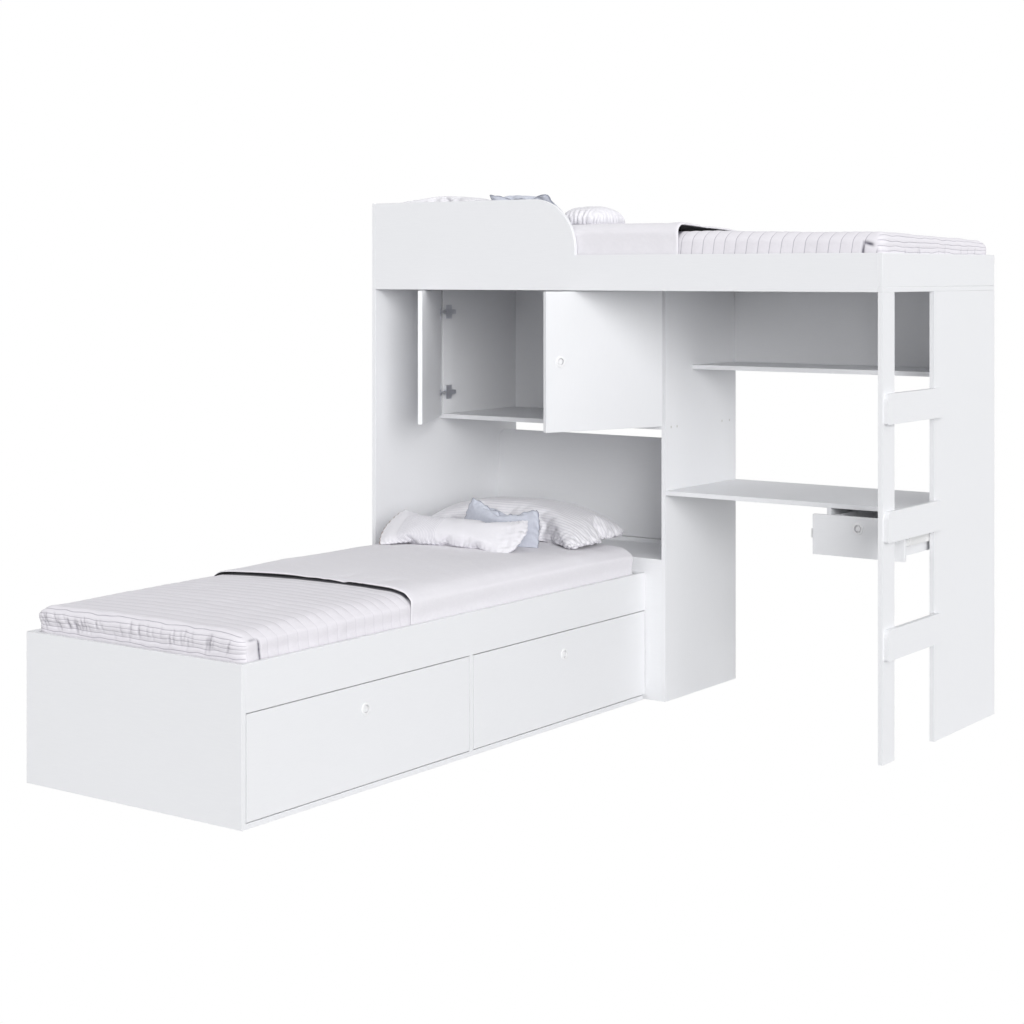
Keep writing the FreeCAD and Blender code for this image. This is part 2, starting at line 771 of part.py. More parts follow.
def tray(name, size, at, front_axis):
    """A drawer's box: two sides, a back and a floor let in between them. Size is its outside along
    X, Y and Z; the drawer's front closes the side that looks along -Y or +X."""
    length, width, height = size
    x, y, z = at
    floor_z = z + " + box_floor_lift"
    inner_x = x + " + box_wall"
    inner_y = y + " + box_wall"
    far_x = "%s + %s - box_wall" % (x, length)
    far_y = "%s + %s - box_wall" % (y, width)
    side_a = name + "_side_a"
    side_b = name + "_side_b"
    if front_axis == "-Y":
        inner = length + " - 2 * box_wall"
        run = width + " - box_wall"
        pieces = [
            box(side_a, ("box_wall", width, height), (x, y, z)),
            box(side_b, ("box_wall", width, height), (far_x, y, z)),
            box(name + "_back", (inner, "box_wall", height), (inner_x, far_y, z)),
            box(name + "_floor", (inner, run, "box_floor"), (inner_x, y, floor_z)),
        ]
    else:
        inner = width + " - 2 * box_wall"
        run = length + " - box_wall"
        pieces = [
            box(side_a, (length, "box_wall", height), (x, y, z)),
            box(side_b, (length, "box_wall", height), (x, far_y, z)),
            box(name + "_back", ("box_wall", inner, height), (x, inner_y, z)),
            box(name + "_floor", (run, inner, "box_floor"), (inner_x, inner_y, floor_z)),
        ]
    keep(group(name + "_box", pieces))


def desk_drawer(channels):
    """The drawer that hangs under the right of the desk, pulled part way out."""
    right = "(%s - slide_thickness)" % RIGHT_INNER
    left = "(%s - desk_drawer_width)" % right
    top = "(%s - desk_drawer_top_gap)" % DESK_BOTTOM
    low = "(%s - desk_drawer_height)" % top
    face = "(%s - desk_drawer_out)" % BAY_FRONT
    box_low = "(%s + desk_box_lift)" % low
    blank = box("desk_drawer_front_blank", ("desk_drawer_width", "board", "desk_drawer_height"))
    hole_at = ("desk_drawer_width / 2", "0", "desk_drawer_height - desk_pull_below_top")
    front = cut(
        "desk_drawer_front",
        blank,
        [rod("desk_pull_hole", "pull_stem_radius", "pull_stem_length", hole_at, "+Y")],
    )
    place(front, (left, face, low))
    keep(front)
    knob = pull("desk_drawer_pull", "-Y")
    knob_x = left + " + desk_drawer_width / 2"
    place(knob, (knob_x, face + " + pull_stem_length", top + " - desk_pull_below_top"))
    keep(knob)
    tray(
        "desk_drawer",
        ("desk_drawer_width", "desk_drawer_depth", "desk_box_height"),
        (left, face + " + board", box_low),
        "-Y",
    )
    bracket_x = left + " - slide_thickness - board"
    keep(
        box(
            "desk_drawer_bracket",
            ("board", "desk_drawer_depth + board", "bracket_height"),
            (bracket_x, BAY_FRONT, DESK_BOTTOM + " - bracket_height"),
        )
    )
    middle = "(%s + desk_box_height / 2)" % box_low
    channel_z = middle + " - slide_height / 2"
    channel_y = BAY_FRONT + " + board + slide_front_gap"
    length = "(desk_drawer_depth - slide_front_gap)"
    left_channel = channel("desk_channel_left", length, "Y", "+")
    place(left_channel, (left + " - slide_thickness", channel_y, channel_z))
    right_channel = channel("desk_channel_right", length, "Y", "-")
    place(right_channel, (right, channel_y, channel_z))
    channels += [left_channel, right_channel]
    runner = (RUNNER_THICKNESS, "desk_drawer_depth", RUNNER_HEIGHT)
    runner_z = middle + " - %s / 2" % RUNNER_HEIGHT
    runner_y = face + " + board"
    keep(
        group(
            "desk_drawer_runners",
            [
                box("desk_runner_left", runner, (left + " - " + RUNNER_THICKNESS, runner_y, runner_z)),
                box("desk_runner_right", runner, (right, runner_y, runner_z)),
            ],
        )
    )


def bed_drawer(name, near, far, front_near, front_far, channels):
    """One of the two drawers under the lower bed, between two upright boards at near and far in Y."""
    outer = "(bed_offset + bed_width)"
    inner = "(%s - board)" % outer
    low = "(board + front_gap)"
    top = "(bed_height - bed_rail_height - front_gap)"
    width = "(%s - %s)" % (front_far, front_near)
    height = "(%s - %s)" % (top, low)
    blank = box(name + "_front_blank", ("board", width, height))
    pull_z = "%s - pull_below_top" % height
    hole_at = ("board", width + " / 2", pull_z)
    hole = rod(name + "_pull_hole", "pull_stem_radius", "pull_stem_length", hole_at, "-X")
    front = cut(name + "_front", blank, [hole])
    place(front, (inner, front_near, low))
    keep(front)
    knob = pull(name + "_pull", "+X")
    knob_y = "%s + %s / 2" % (front_near, width)
    place(knob, (outer + " - pull_stem_length", knob_y, "%s - pull_below_top" % top))
    keep(knob)
    box_y = "(%s + slide_thickness)" % near
    box_width = "(%s - %s - 2 * slide_thickness)" % (far, near)
    box_z = "(%s + bed_box_lift)" % low
    tray(
        name,
        ("bed_drawer_depth", box_width, "bed_box_height"),
        (inner + " - bed_drawer_depth", box_y, box_z),
        "+X",
    )
    middle = "(%s + bed_box_height / 2)" % box_z
    channel_x = inner + " - bed_drawer_depth"
    length = "(bed_drawer_depth - slide_front_gap)"
    near_channel = channel(name + "_channel_near", length, "X", "+")
    place(near_channel, (channel_x, near, middle + " - slide_height / 2"))
    far_channel = channel(name + "_channel_far", length, "X", "-")
    place(far_channel, (channel_x, far + " - slide_thickness", middle + " - slide_height / 2"))
    channels += [near_channel, far_channel]
    runner = ("bed_drawer_depth", RUNNER_THICKNESS, RUNNER_HEIGHT)
    runner_z = middle + " - %s / 2" % RUNNER_HEIGHT
    near_y = box_y + " - " + RUNNER_THICKNESS
    far_y = "%s + %s" % (box_y, box_width)
    keep(
        group(
            name + "_runners",
            [
                box(name + "_runner_near", runner, (channel_x, near_y, runner_z)),
                box(name + "_runner_far", runner, (channel_x, far_y, runner_z)),
            ],
        )
    )


# ---------------------------------------------------------------- lower bed


def lower_bed(channels):
    """The lower bed's boards, its slats and its two drawers."""
    right = "(bed_offset + bed_width)"
    inside_x = "(bed_offset + board)"
    inside_width = "(bed_width - 2 * board)"
    body_y = "(%s + board)" % BED_FOOT
    body_length = "(bed_length - board)"
    keep(box("bed_foot_panel", ("bed_width", "board", "bed_height"), ("bed_offset", BED_FOOT, "0")))
    head_y = BAY_FRONT + " - board"
    keep(box("bed_head_panel", (inside_width, "board", "bed_height"), (inside_x, head_y, "0")))
    keep(box("bed_left_panel", ("board", body_length, "bed_height"), ("bed_offset", body_y, "0")))
    keep(
        box(
            "bed_side_rail",
            ("board", body_length, "bed_rail_height"),
            (right + " - board", body_y, "bed_height - bed_rail_height"),
        )
    )
    base_x = right + " - bed_base_width"
    keep(box("bed_base_rail", ("bed_base_width", body_length + " - board", "board"), (base_x, body_y, "0")))
    partition_y = "(%s - bed_partition_from_head - board)" % BAY_FRONT
    partition_height = "bed_height - bed_rail_height - board"
    keep(
        box(
            "bed_partition",
            ("bed_width - board", "board", partition_height),
            (inside_x, partition_y, "board"),
        )
    )
    foot_inner = "(%s + board)" % BED_FOOT
    head_inner = "(%s - board)" % BAY_FRONT
    partition_far = "(%s + board)" % partition_y
    bed_drawer(
        "foot_drawer",
        foot_inner,
        partition_y,
        "(%s + front_gap)" % foot_inner,
        "(%s - front_gap)" % partition_y,
        channels,
    )
    bed_drawer(
        "head_drawer",
        partition_far,
        head_inner,
        "(%s + front_gap)" % partition_far,
        "(%s - front_gap)" % BAY_FRONT,
        channels,
    )
    cleat_z = "slat_top - board - cleat_size"
    clear = "(bed_length - 2 * board)"
    cleat = ("cleat_size", clear, "cleat_size")
    pieces = [
        box("cleat_left", cleat, (inside_x, body_y, cleat_z)),
        box("cleat_right", cleat, (right + " - board - cleat_size", body_y, cleat_z)),
    ]
    pitch = "((%s - slat_width) / (slat_count - 1))" % clear
    slat = (inside_width + " - 2 * seat_gap", "slat_width", "board")
    for number in range(int(VALUE["slat_count"])):
        at = (inside_x + " + seat_gap", "%s + %d * %s" % (body_y, number, pitch), "slat_top - board")
        pieces.append(box("slat_%d" % number, slat, at))
    keep(group("bed_slats_and_cleats", pieces))


# ---------------------------------------------------------------- mattresses and bedding


def soft_block(label, size, at, radius):
    """A soft block with every edge rounded."""
    length, width, height = size
    body = padded_body(label, "XY_Plane", rectangle(length, width), height)
    round_edges(body, radius, every_edge)
    place(body, at)
    keep(body)


LOFT_MATTRESS_TOP = "(%s + mattress_thickness + seat_gap)" % DECK_TOP
LOWER_MATTRESS_TOP = "(slat_top + mattress_thickness + seat_gap)"
LOFT_MATTRESS_X = "(board + loft_mattress_head_gap)"
LOFT_MATTRESS_Y = "(board + loft_mattress_side_gap)"
LOFT_MATTRESS_LENGTH = "(loft_length - 2 * board - loft_mattress_head_gap - loft_mattress_foot_gap)"
LOFT_MATTRESS_WIDTH = "(loft_depth - 2 * (board + loft_mattress_side_gap))"
LOWER_MATTRESS_X = "(bed_offset + board + lower_mattress_side_gap)"
LOWER_MATTRESS_Y = "(%s + board + lower_mattress_end_gap)" % BED_FOOT
LOWER_MATTRESS_LENGTH = "(bed_length - 2 * (board + lower_mattress_end_gap))"
LOWER_MATTRESS_WIDTH = "(bed_width - 2 * (board + lower_mattress_side_gap))"
QUILT_OUTER = "(seat_gap + quilt_side)"
LOFT_SPREAD = LOFT_MATTRESS_LENGTH + " - loft_bare_length - loft_fold_length"
LOWER_SPREAD = LOWER_MATTRESS_LENGTH + " - lower_bare_length - lower_fold_length"


def mattresses():
    """A mattress on the deck and one on the lower bed's slats."""
    soft_block(
        "loft_mattress",
        (LOFT_MATTRESS_LENGTH, LOFT_MATTRESS_WIDTH, "mattress_thickness"),
        (LOFT_MATTRESS_X, LOFT_MATTRESS_Y, DECK_TOP + " + seat_gap"),
        "mattress_radius",
    )
    soft_block(
        "lower_mattress",
        (LOWER_MATTRESS_WIDTH, LOWER_MATTRESS_LENGTH, "mattress_thickness"),
        (LOWER_MATTRESS_X, LOWER_MATTRESS_Y, "slat_top + seat_gap"),
        "mattress_radius",
    )


def quilt(label, mattress_width, thin, thick, spread_length, fold_length):
    """A quilt that covers a mattress from its foot: the spread part, then the thicker turned-back
    part, with thin sides that hang down beside the mattress. Its own axes have X from the foot
    towards the head, Y across the mattress, and zero at the mattress's top corner at the foot."""
    outer = QUILT_OUTER
    width = "(%s + 2 * %s)" % (mattress_width, outer)
    drop = "(quilt_drop + %s)" % thin
    spread = box(label + "_spread", ("%s + %s" % (spread_length, fold_length), width, drop))
    offset(spread, ("-" + outer, "-" + outer, "-quilt_drop"))
    fold = box(label + "_fold", (fold_length, width, "%s + quilt_drop" % thick))
    offset(fold, ("%s - %s" % (spread_length, outer), "-" + outer, "-quilt_drop"))
    covered = "%s + %s" % (spread_length, fold_length)
    room = (covered + " + 2 * seat_gap", mattress_width + " + 2 * seat_gap")
    space = box(label + "_space", room + ("quilt_drop + seat_gap",))
    offset(space, ("-seat_gap", "-seat_gap", "-quilt_drop"))
    return cut(label, joined(label + "_whole", [spread, fold]), [space])


def quilts():
    """A quilt on each mattress, spread from its foot and turned back towards the pillows."""
    lower = quilt(
        "lower_quilt",
        LOWER_MATTRESS_WIDTH,
        "lower_quilt_thickness",
        "lower_fold_thickness",
        LOWER_SPREAD,
        "lower_fold_length",
    )
    upright = FreeCAD.Vector(0, 0, 1)
    lower.Placement = FreeCAD.Placement(FreeCAD.Vector(), FreeCAD.Rotation(upright, 90))
    lower_x = LOWER_MATTRESS_X + " + " + LOWER_MATTRESS_WIDTH
    place(lower, (lower_x, LOWER_MATTRESS_Y, LOWER_MATTRESS_TOP))
    keep(lower)
    loft = quilt(
        "loft_quilt",
        LOFT_MATTRESS_WIDTH,
        "loft_quilt_thickness",
        "loft_fold_thickness",
        LOFT_SPREAD,
        "loft_fold_length",
    )
    loft.Placement = FreeCAD.Placement(FreeCAD.Vector(), FreeCAD.Rotation(upright, 180))
    loft_x = LOFT_MATTRESS_X + " + " + LOFT_MATTRESS_LENGTH
    loft_y = LOFT_MATTRESS_Y + " + " + LOFT_MATTRESS_WIDTH
    place(loft, (loft_x, loft_y, LOFT_MATTRESS_TOP))
    keep(loft)


def pillows():
    """Three pillows on each bed, side by side with small gaps."""
    z = LOWER_MATTRESS_TOP + " + lower_fold_thickness + seat_gap"
    y = "(%s - pillow_front)" % BAY_FRONT
    for name in ("long_pillow", "square_pillow"):
        size = (name + "_length", name + "_width", name + "_height")
        soft_block("lower_" + name, size, (name + "_from_left", y, z), "pillow_radius")
        y += " + %s_width + pillow_gap" % name
    big_length = "(left_bay - big_pillow_from_left - big_pillow_right_gap)"
    big_size = (big_length, "big_pillow_width", "big_pillow_height")
    soft_block("lower_big_pillow", big_size, ("board + big_pillow_from_left", y, z), "pillow_radius")
    z = LOFT_MATTRESS_TOP + " + seat_gap"
    x = LOFT_MATTRESS_X + " + loft_pillow_from_head"
    for name in ("striped_pillow", "grey_pillow", "white_pillow"):
        size = (name + "_length", name + "_width", name + "_height")
        if name == "white_pillow":
            x = "%s + loft_bare_length + %s - white_pillow_overhang" % (LOFT_MATTRESS_X, QUILT_OUTER)
            z += " + loft_fold_thickness + seat_gap"
        soft_block("loft_" + name, size, (x, "loft_pillow_from_front", z), "pillow_radius")
        x += " + %s_length + pillow_gap" % name


# ---------------------------------------------------------------- checks and files


def faults():
    """What is wrong with the finished document, as a list of lines."""
    found = []
    for item in doc.Objects:
        if "Invalid" in item.State or "Error" in item.State:
            found.append("%s is %s" % (item.Label, item.State))
    for piece in nodes:
        if piece.Shape.isNull() or not piece.Shape.isValid() or not piece.Shape.Solids:
            found.append("%s has no valid solid" % piece.Label)
    labels = [piece.Label for piece in nodes]
    found += ["%s is named twice" % label for label in sorted(set(labels)) if labels.count(label) > 1]
    return found


def main():
    """Build every piece, check them all, and write one STEP file for each."""
    end_and_middle_panels()
    rungs()
    rails_and_deck()
    shelves_and_backs()
    headboard()
    panel_screws()
    doors()
    hinge_arms()
    channels = []
    desk_drawer(channels)
    lower_bed(channels)
    keep(group("slide_channels", channels))
    mattresses()
    quilts()
    pillows()
    doc.recompute()
    found = faults()
    if found:
        raise RuntimeError("\n".join(found))
    os.makedirs("parts", exist_ok=True)
    for piece in nodes:
        piece.Shape.exportStep("parts/%s.step" % piece.Label)
    print("%d nodes" % len(nodes))


main()
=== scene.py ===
"""A white loft bed with a desk and a second bed below it: materials, bedding, light and camera."""

import math

import bpy
import numpy as np
from mathutils import Matrix, Vector


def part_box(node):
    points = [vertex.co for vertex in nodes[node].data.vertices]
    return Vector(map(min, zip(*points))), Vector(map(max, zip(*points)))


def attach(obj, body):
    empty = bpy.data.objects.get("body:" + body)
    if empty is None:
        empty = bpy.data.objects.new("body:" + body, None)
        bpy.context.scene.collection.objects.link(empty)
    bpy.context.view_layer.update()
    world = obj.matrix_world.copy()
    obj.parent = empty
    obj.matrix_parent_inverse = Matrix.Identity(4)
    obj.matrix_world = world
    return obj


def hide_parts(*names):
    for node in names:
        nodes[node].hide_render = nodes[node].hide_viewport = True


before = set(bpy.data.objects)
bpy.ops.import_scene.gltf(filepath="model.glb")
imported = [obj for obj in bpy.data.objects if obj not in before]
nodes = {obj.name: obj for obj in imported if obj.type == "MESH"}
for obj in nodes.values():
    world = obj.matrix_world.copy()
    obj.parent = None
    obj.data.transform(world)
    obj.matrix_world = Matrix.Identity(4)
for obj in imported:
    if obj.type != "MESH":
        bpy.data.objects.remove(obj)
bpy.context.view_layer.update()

MM = 0.001


# ---------------------------------------------------------------- shader helpers


def add(tree, kind, settings=None, **inputs):
    """Add a shader node. Each input is a value, or a socket to join to it."""
    made = tree.nodes.new(kind)
    for name, value in (settings or {}).items():
        setattr(made, name, value)
    for name, value in inputs.items():
        join(tree, value, made.inputs[name.replace("_", " ")])
    return made


def join(tree, value, socket):
    """Join a socket to another, or set its value."""
    if isinstance(value, bpy.types.NodeSocket):
        tree.links.new(value, socket)
    else:
        socket.default_value = value


def calculate(tree, operation, first, second=0.0):
    """The result of a Math node."""
    made = add(tree, "ShaderNodeMath", {"operation": operation})
    join(tree, first, made.inputs[0])
    join(tree, second, made.inputs[1])
    return made.outputs[0]


def spread_range(tree, value, low, high, new_low=0.0, new_high=1.0):
    """A value taken from one range to another, and held inside it."""
    made = add(
        tree,
        "ShaderNodeMapRange",
        Value=value,
        From_Min=low,
        From_Max=high,
        To_Min=new_low,
        To_Max=new_high,
    )
    return made.outputs["Result"]


def blend_colours(tree, share, first, second):
    """The first colour where the share is 0, and the second where it is 1."""
    made = add(tree, "ShaderNodeMix", {"data_type": "RGBA"})
    join(tree, share, made.inputs[0])
    join(tree, first, made.inputs[6])
    join(tree, second, made.inputs[7])
    return made.outputs[2]


def stretched_noise(tree, stretch, detail=2.0, roughness=0.5):
    """Noise in the object's own axes, drawn out by a stretch along each of them."""
    place = add(tree, "ShaderNodeTexCoord")
    turned = add(tree, "ShaderNodeVectorMath", {"operation": "MULTIPLY"})
    join(tree, place.outputs["Object"], turned.inputs[0])
    join(tree, stretch, turned.inputs[1])
    made = add(
        tree,
        "ShaderNodeTexNoise",
        Vector=turned.outputs[0],
        Scale=1.0,
        Detail=detail,
        Roughness=roughness,
    )
    return made.outputs["Fac"]


def new_group(name, inputs, outputs):
    """An empty node group with its named sockets: the tree, its input node and its output node."""
    tree = bpy.data.node_groups.new(name, "ShaderNodeTree")
    for socket, kind, value in inputs:
        made = tree.interface.new_socket(socket, in_out="INPUT", socket_type=kind)
        made.default_value = value
    for socket in outputs:
        tree.interface.new_socket(socket, in_out="OUTPUT", socket_type="NodeSocketFloat")
    return tree, add(tree, "NodeGroupInput"), add(tree, "NodeGroupOutput")


def use_group(tree, group, **inputs):
    """Place a node group in a material with its own values."""
    made = add(tree, "ShaderNodeGroup", {"node_tree": group})
    for name, value in inputs.items():
        join(tree, value, made.inputs[name])
    return made


def measured(tree, name):
    """A number that a piece's mesh holds at each point, such as how deep it lies in a seam."""
    return add(tree, "ShaderNodeAttribute", {"attribute_name": name}).outputs["Fac"]


# ---------------------------------------------------------------- shared effects


def streak_group():
    """Fine drawn-out streaks, as in printed laminate, brushed metal or planed wood."""
    inputs = [("Stretch", "NodeSocketVector", (40.0, 40.0, 1600.0))]
    tree, given, made = new_group("fine_streaks", inputs, ("Tone",))
    fine = stretched_noise(tree, given.outputs["Stretch"], 3.0, 0.6)
    join(tree, spread_range(tree, fine, 0.32, 0.68), made.inputs["Tone"])
    return tree


def handling_group():
    """Large soft patches where hands and cloths have changed the gloss."""
    inputs = [("Patch Size", "NodeSocketVector", (5.0, 5.0, 5.0))]
    tree, given, made = new_group("handling_marks", inputs, ("Patches",))
    cloudy = stretched_noise(tree, given.outputs["Patch Size"], 4.0, 0.62)
    join(tree, spread_range(tree, cloudy, 0.38, 0.66), made.inputs["Patches"])
    return tree


def weave_group():
    """Crossing threads on every side of a piece, with thicker and thinner yarns."""
    inputs = [
        ("Threads", "NodeSocketFloat", 1500.0),
        ("Slub", "NodeSocketFloat", 0.5),
    ]
    tree, given, made = new_group("woven_threads", inputs, ("Thread", "Height"))
    total = None
    for axis in range(3):
        parts = []
        for other in range(3):
            share = 1.0 if other == axis else 0.05
            parts.append(calculate(tree, "MULTIPLY", given.outputs["Threads"], share))
        stretch = add(tree, "ShaderNodeCombineXYZ", X=parts[0], Y=parts[1], Z=parts[2])
        yarn = stretched_noise(tree, stretch.outputs[0], 1.0, 0.5)
        total = yarn if total is None else calculate(tree, "ADD", total, yarn)
    thread = spread_range(tree, total, 1.15, 1.85)
    slub = stretched_noise(tree, (90.0, 90.0, 90.0), 2.0, 0.5)
    thick = calculate(tree, "MULTIPLY", slub, given.outputs["Slub"])
    join(tree, thread, made.inputs["Thread"])
    join(tree, calculate(tree, "ADD", thread, thick), made.inputs["Height"])
    return tree


def crumple_group():
    """Soft shallow dents between the folds of washed cotton."""
    inputs = [("Dents", "NodeSocketFloat", 26.0)]
    tree, given, made = new_group("soft_dents", inputs, ("Height",))
    size = given.outputs["Dents"]
    stretch = add(tree, "ShaderNodeCombineXYZ", X=size, Y=size, Z=size)
    dents = stretched_noise(tree, stretch.outputs[0], 3.0, 0.55)
    join(tree, dents, made.inputs["Height"])
    return tree


STREAKS = streak_group()
HANDLING = handling_group()
WEAVE = weave_group()
DENTS = crumple_group()


# ---------------------------------------------------------------- materials of the boards and fittings


def new_material(name):
    """A material with a Principled BSDF joined to its output: the material, its tree and the shader."""
    material = bpy.data.materials.new(name)
    material.use_nodes = True
    tree = material.node_tree
    return material, tree, tree.nodes["Principled BSDF"]


def bump(tree, height, strength, distance, **under):
    """The normal that a height gives, on top of another normal where one is given."""
    made = add(tree, "ShaderNodeBump", Height=height, Strength=strength, Distance=distance, **under)
    return made.outputs["Normal"]


def patchy_gloss(tree, shader, low, high, size):
    """A roughness that changes between two values in large soft patches: gives the patches."""
    patches = use_group(tree, HANDLING, **{"Patch Size": size}).outputs["Patches"]
    join(tree, spread_range(tree, patches, 0.0, 1.0, low, high), shader.inputs["Roughness"])
    return patches


def laminate(name, stretch):
    """White melamine board: a faint printed streak along the board and a satin surface."""
    material, tree, shader = new_material(name)
    streaks = use_group(tree, STREAKS, Stretch=stretch).outputs["Tone"]
    light, dark = (0.8, 0.805, 0.822, 1), (0.782, 0.787, 0.806, 1)
    join(tree, blend_colours(tree, streaks, light, dark), shader.inputs["Base Color"])
    patchy_gloss(tree, shader, 0.4, 0.47, (5.0, 5.0, 5.0))
    join(tree, bump(tree, streaks, 0.12, 0.2 * MM), shader.inputs["Normal"])
    return material


def plastic(name, colour, shade):
    """Moulded plastic of the pulls: smooth, slightly glossy, with the faintest skin."""
    material, tree, shader = new_material(name)
    patches = patchy_gloss(tree, shader, 0.28, 0.36, (60.0, 60.0, 60.0))
    join(tree, blend_colours(tree, patches, colour, shade), shader.inputs["Base Color"])
    skin = stretched_noise(tree, (900.0, 900.0, 900.0), 1.0)
    join(tree, bump(tree, skin, 0.06, 0.2 * MM), shader.inputs["Normal"])
    return material


def metal(name, colour, shade, metallic, gloss, stretch):
    """Plated or enamelled metal with fine drawing marks."""
    material, tree, shader = new_material(name)
    streaks = use_group(tree, STREAKS, Stretch=stretch).outputs["Tone"]
    join(tree, blend_colours(tree, streaks, colour, shade), shader.inputs["Base Color"])
    shader.inputs["Metallic"].default_value = metallic
    patchy_gloss(tree, shader, gloss, gloss + 0.12, (30.0, 30.0, 30.0))
    join(tree, bump(tree, streaks, 0.15, 0.2 * MM), shader.inputs["Normal"])
    return material


def pine():
    """Planed pine slats: growth lines along the slat, darker late wood, and pores."""
    material, tree, shader = new_material("planed_pine")
    rings = stretched_noise(tree, (2.0, 70.0, 70.0), 3.0, 0.55)
    waves = calculate(tree, "MULTIPLY", rings, 9.0)
    late = calculate(tree, "FRACT", waves)
    band = spread_range(tree, late, 0.55, 1.0)
    streaks = use_group(tree, STREAKS, Stretch=(25.0, 1200.0, 1200.0)).outputs["Tone"]
    wood = blend_colours(tree, band, (0.74, 0.56, 0.36, 1), (0.58, 0.38, 0.2, 1))
    pores = spread_range(tree, streaks, 0.0, 1.0, 0.0, 0.35)
    toned = blend_colours(tree, pores, wood, (0.66, 0.48, 0.3, 1))
    join(tree, toned, shader.inputs["Base Color"])
    shader.inputs["Roughness"].default_value = 0.62
    join(tree, bump(tree, streaks, 0.3, 0.3 * MM), shader.inputs["Normal"])
    return material


# ---------------------------------------------------------------- materials of the bedding


def stitched_line(tree, phase, width):
    """1 in the stitched line between two ribs and 0 on the ribs, from a phase that grows by one a rib."""
    part = calculate(tree, "FRACT", measured(tree, phase))
    away = calculate(tree, "ABSOLUTE", calculate(tree, "SUBTRACT", part, 0.5))
    return spread_range(tree, away, 0.5 - width, 0.5)


def cotton(name, colour, shade, threads=1500.0, ribs=(), rib_colour=None, marks=()):
    """Woven cotton with a soft sheen. ribs gives (phase, share, line width) for each way that ribs
    run, and marks gives (value on the mesh, colour there)."""
    material, tree, shader = new_material(name)
    weave = use_group(tree, WEAVE, Threads=threads)
    cloth = blend_colours(tree, weave.outputs["Thread"], shade, colour)
    lines = None
    for phase, share, width in ribs:
        line = stitched_line(tree, phase, width)
        if share:
            line = calculate(tree, "MULTIPLY", line, measured(tree, share))
        lines = line if lines is None else calculate(tree, "MAXIMUM", lines, line)
    if ribs:
        cloth = blend_colours(tree, lines, cloth, rib_colour)
    for value, mark_colour in marks:
        cloth = blend_colours(tree, measured(tree, value), cloth, mark_colour)
    join(tree, cloth, shader.inputs["Base Color"])
    shader.inputs["Roughness"].default_value = 0.88
    shader.inputs["Specular IOR Level"].default_value = 0.25
    shader.inputs["Sheen Weight"].default_value = 0.12
    shader.inputs["Sheen Roughness"].default_value = 0.45
    fine = bump(tree, weave.outputs["Height"], 0.35, 0.3 * MM)
    soft = use_group(tree, DENTS).outputs["Height"]
    join(tree, bump(tree, soft, 0.5, 4 * MM, Normal=fine), shader.inputs["Normal"])
    return material


UPRIGHT = laminate("laminate_upright", (900.0, 900.0, 22.0))
ACROSS = laminate("laminate_across", (22.0, 900.0, 900.0))
DEEP = laminate("laminate_deep", (900.0, 22.0, 900.0))
PULL = plastic("pull_plastic", (0.83, 0.83, 0.84, 1), (0.8, 0.8, 0.81, 1))
NICKEL = metal(
    "hinge_nickel", (0.74, 0.75, 0.79, 1), (0.64, 0.65, 0.7, 1),
    metallic=0.85, gloss=0.3, stretch=(60.0, 60.0, 1500.0),
)
ENAMEL = metal(
    "white_enamel", (0.78, 0.78, 0.78, 1), (0.74, 0.74, 0.74, 1),
    metallic=0.0, gloss=0.34, stretch=(900.0, 900.0, 900.0),
)
ZINC = metal(
    "zinc_screw", (0.72, 0.72, 0.7, 1), (0.62, 0.62, 0.6, 1),
    metallic=1.0, gloss=0.3, stretch=(1500.0, 300.0, 300.0),
)
PINE = pine()
SHEET_COTTON = cotton("sheet_cotton", (0.77, 0.76, 0.795, 1), (0.745, 0.735, 0.77, 1))
# Painted shade: the near-black colour of the quilts' inner layers, which lie in the gap under their
# edges.
GAP_SHADE = (0.03, 0.03, 0.04, 1)
LINING = cotton(
    "quilt_lining",
    (0.77, 0.755, 0.79, 1),
    (0.745, 0.73, 0.765, 1),
    marks=(("inside", GAP_SHADE),),
)
# Painted shade on the quilt face: the dark lines in the stitched valleys between the ribs stand for the
# shade in those valleys, and the near-black mark stands for the shade in the foot gathers, the tucked
# corner and the ribs that run under the turned-back part. GAP_SHADE paints the inner layer as shade.
QUILT_FACE = cotton(
    "quilt_face",
    (0.77, 0.75, 0.79, 1),
    (0.74, 0.72, 0.76, 1),
    ribs=(("rib_along", "top_share", 0.05), ("rib_down", "foot_share", 0.1)),
    rib_colour=(0.34, 0.32, 0.37, 1),
    marks=(("seam_and_painted_shade", (0.1, 0.095, 0.13, 1)), ("inside", GAP_SHADE)),
)
STRIPED_COTTON = cotton(
    "striped_cotton",
    (0.78, 0.77, 0.8, 1),
    (0.75, 0.74, 0.77, 1),
    ribs=(("rib_along", None, 0.12),),
    rib_colour=(0.58, 0.57, 0.62, 1),
    marks=(("seam_and_painted_shade", (0.42, 0.41, 0.46, 1)),),
)
GREY_COTTON = cotton(
    "grey_cotton",
    (0.56, 0.58, 0.645, 1),
    (0.5, 0.52, 0.595, 1),
    threads=1100.0,
    marks=(("seam_and_painted_shade", (0.16, 0.17, 0.22, 1)),),
)
# The pale cotton's pleat lines are painted shade in the valleys of the pleats.
PALE_COTTON = cotton(
    "pale_cotton",
    (0.77, 0.76, 0.795, 1),
    (0.745, 0.735, 0.77, 1),
    ribs=(("pleat", "band", 0.2),),
    rib_colour=(0.5, 0.49, 0.54, 1),
    marks=(("seam_and_painted_shade", (0.45, 0.44, 0.49, 1)), ("trim", (0.32, 0.24, 0.2, 1))),
)

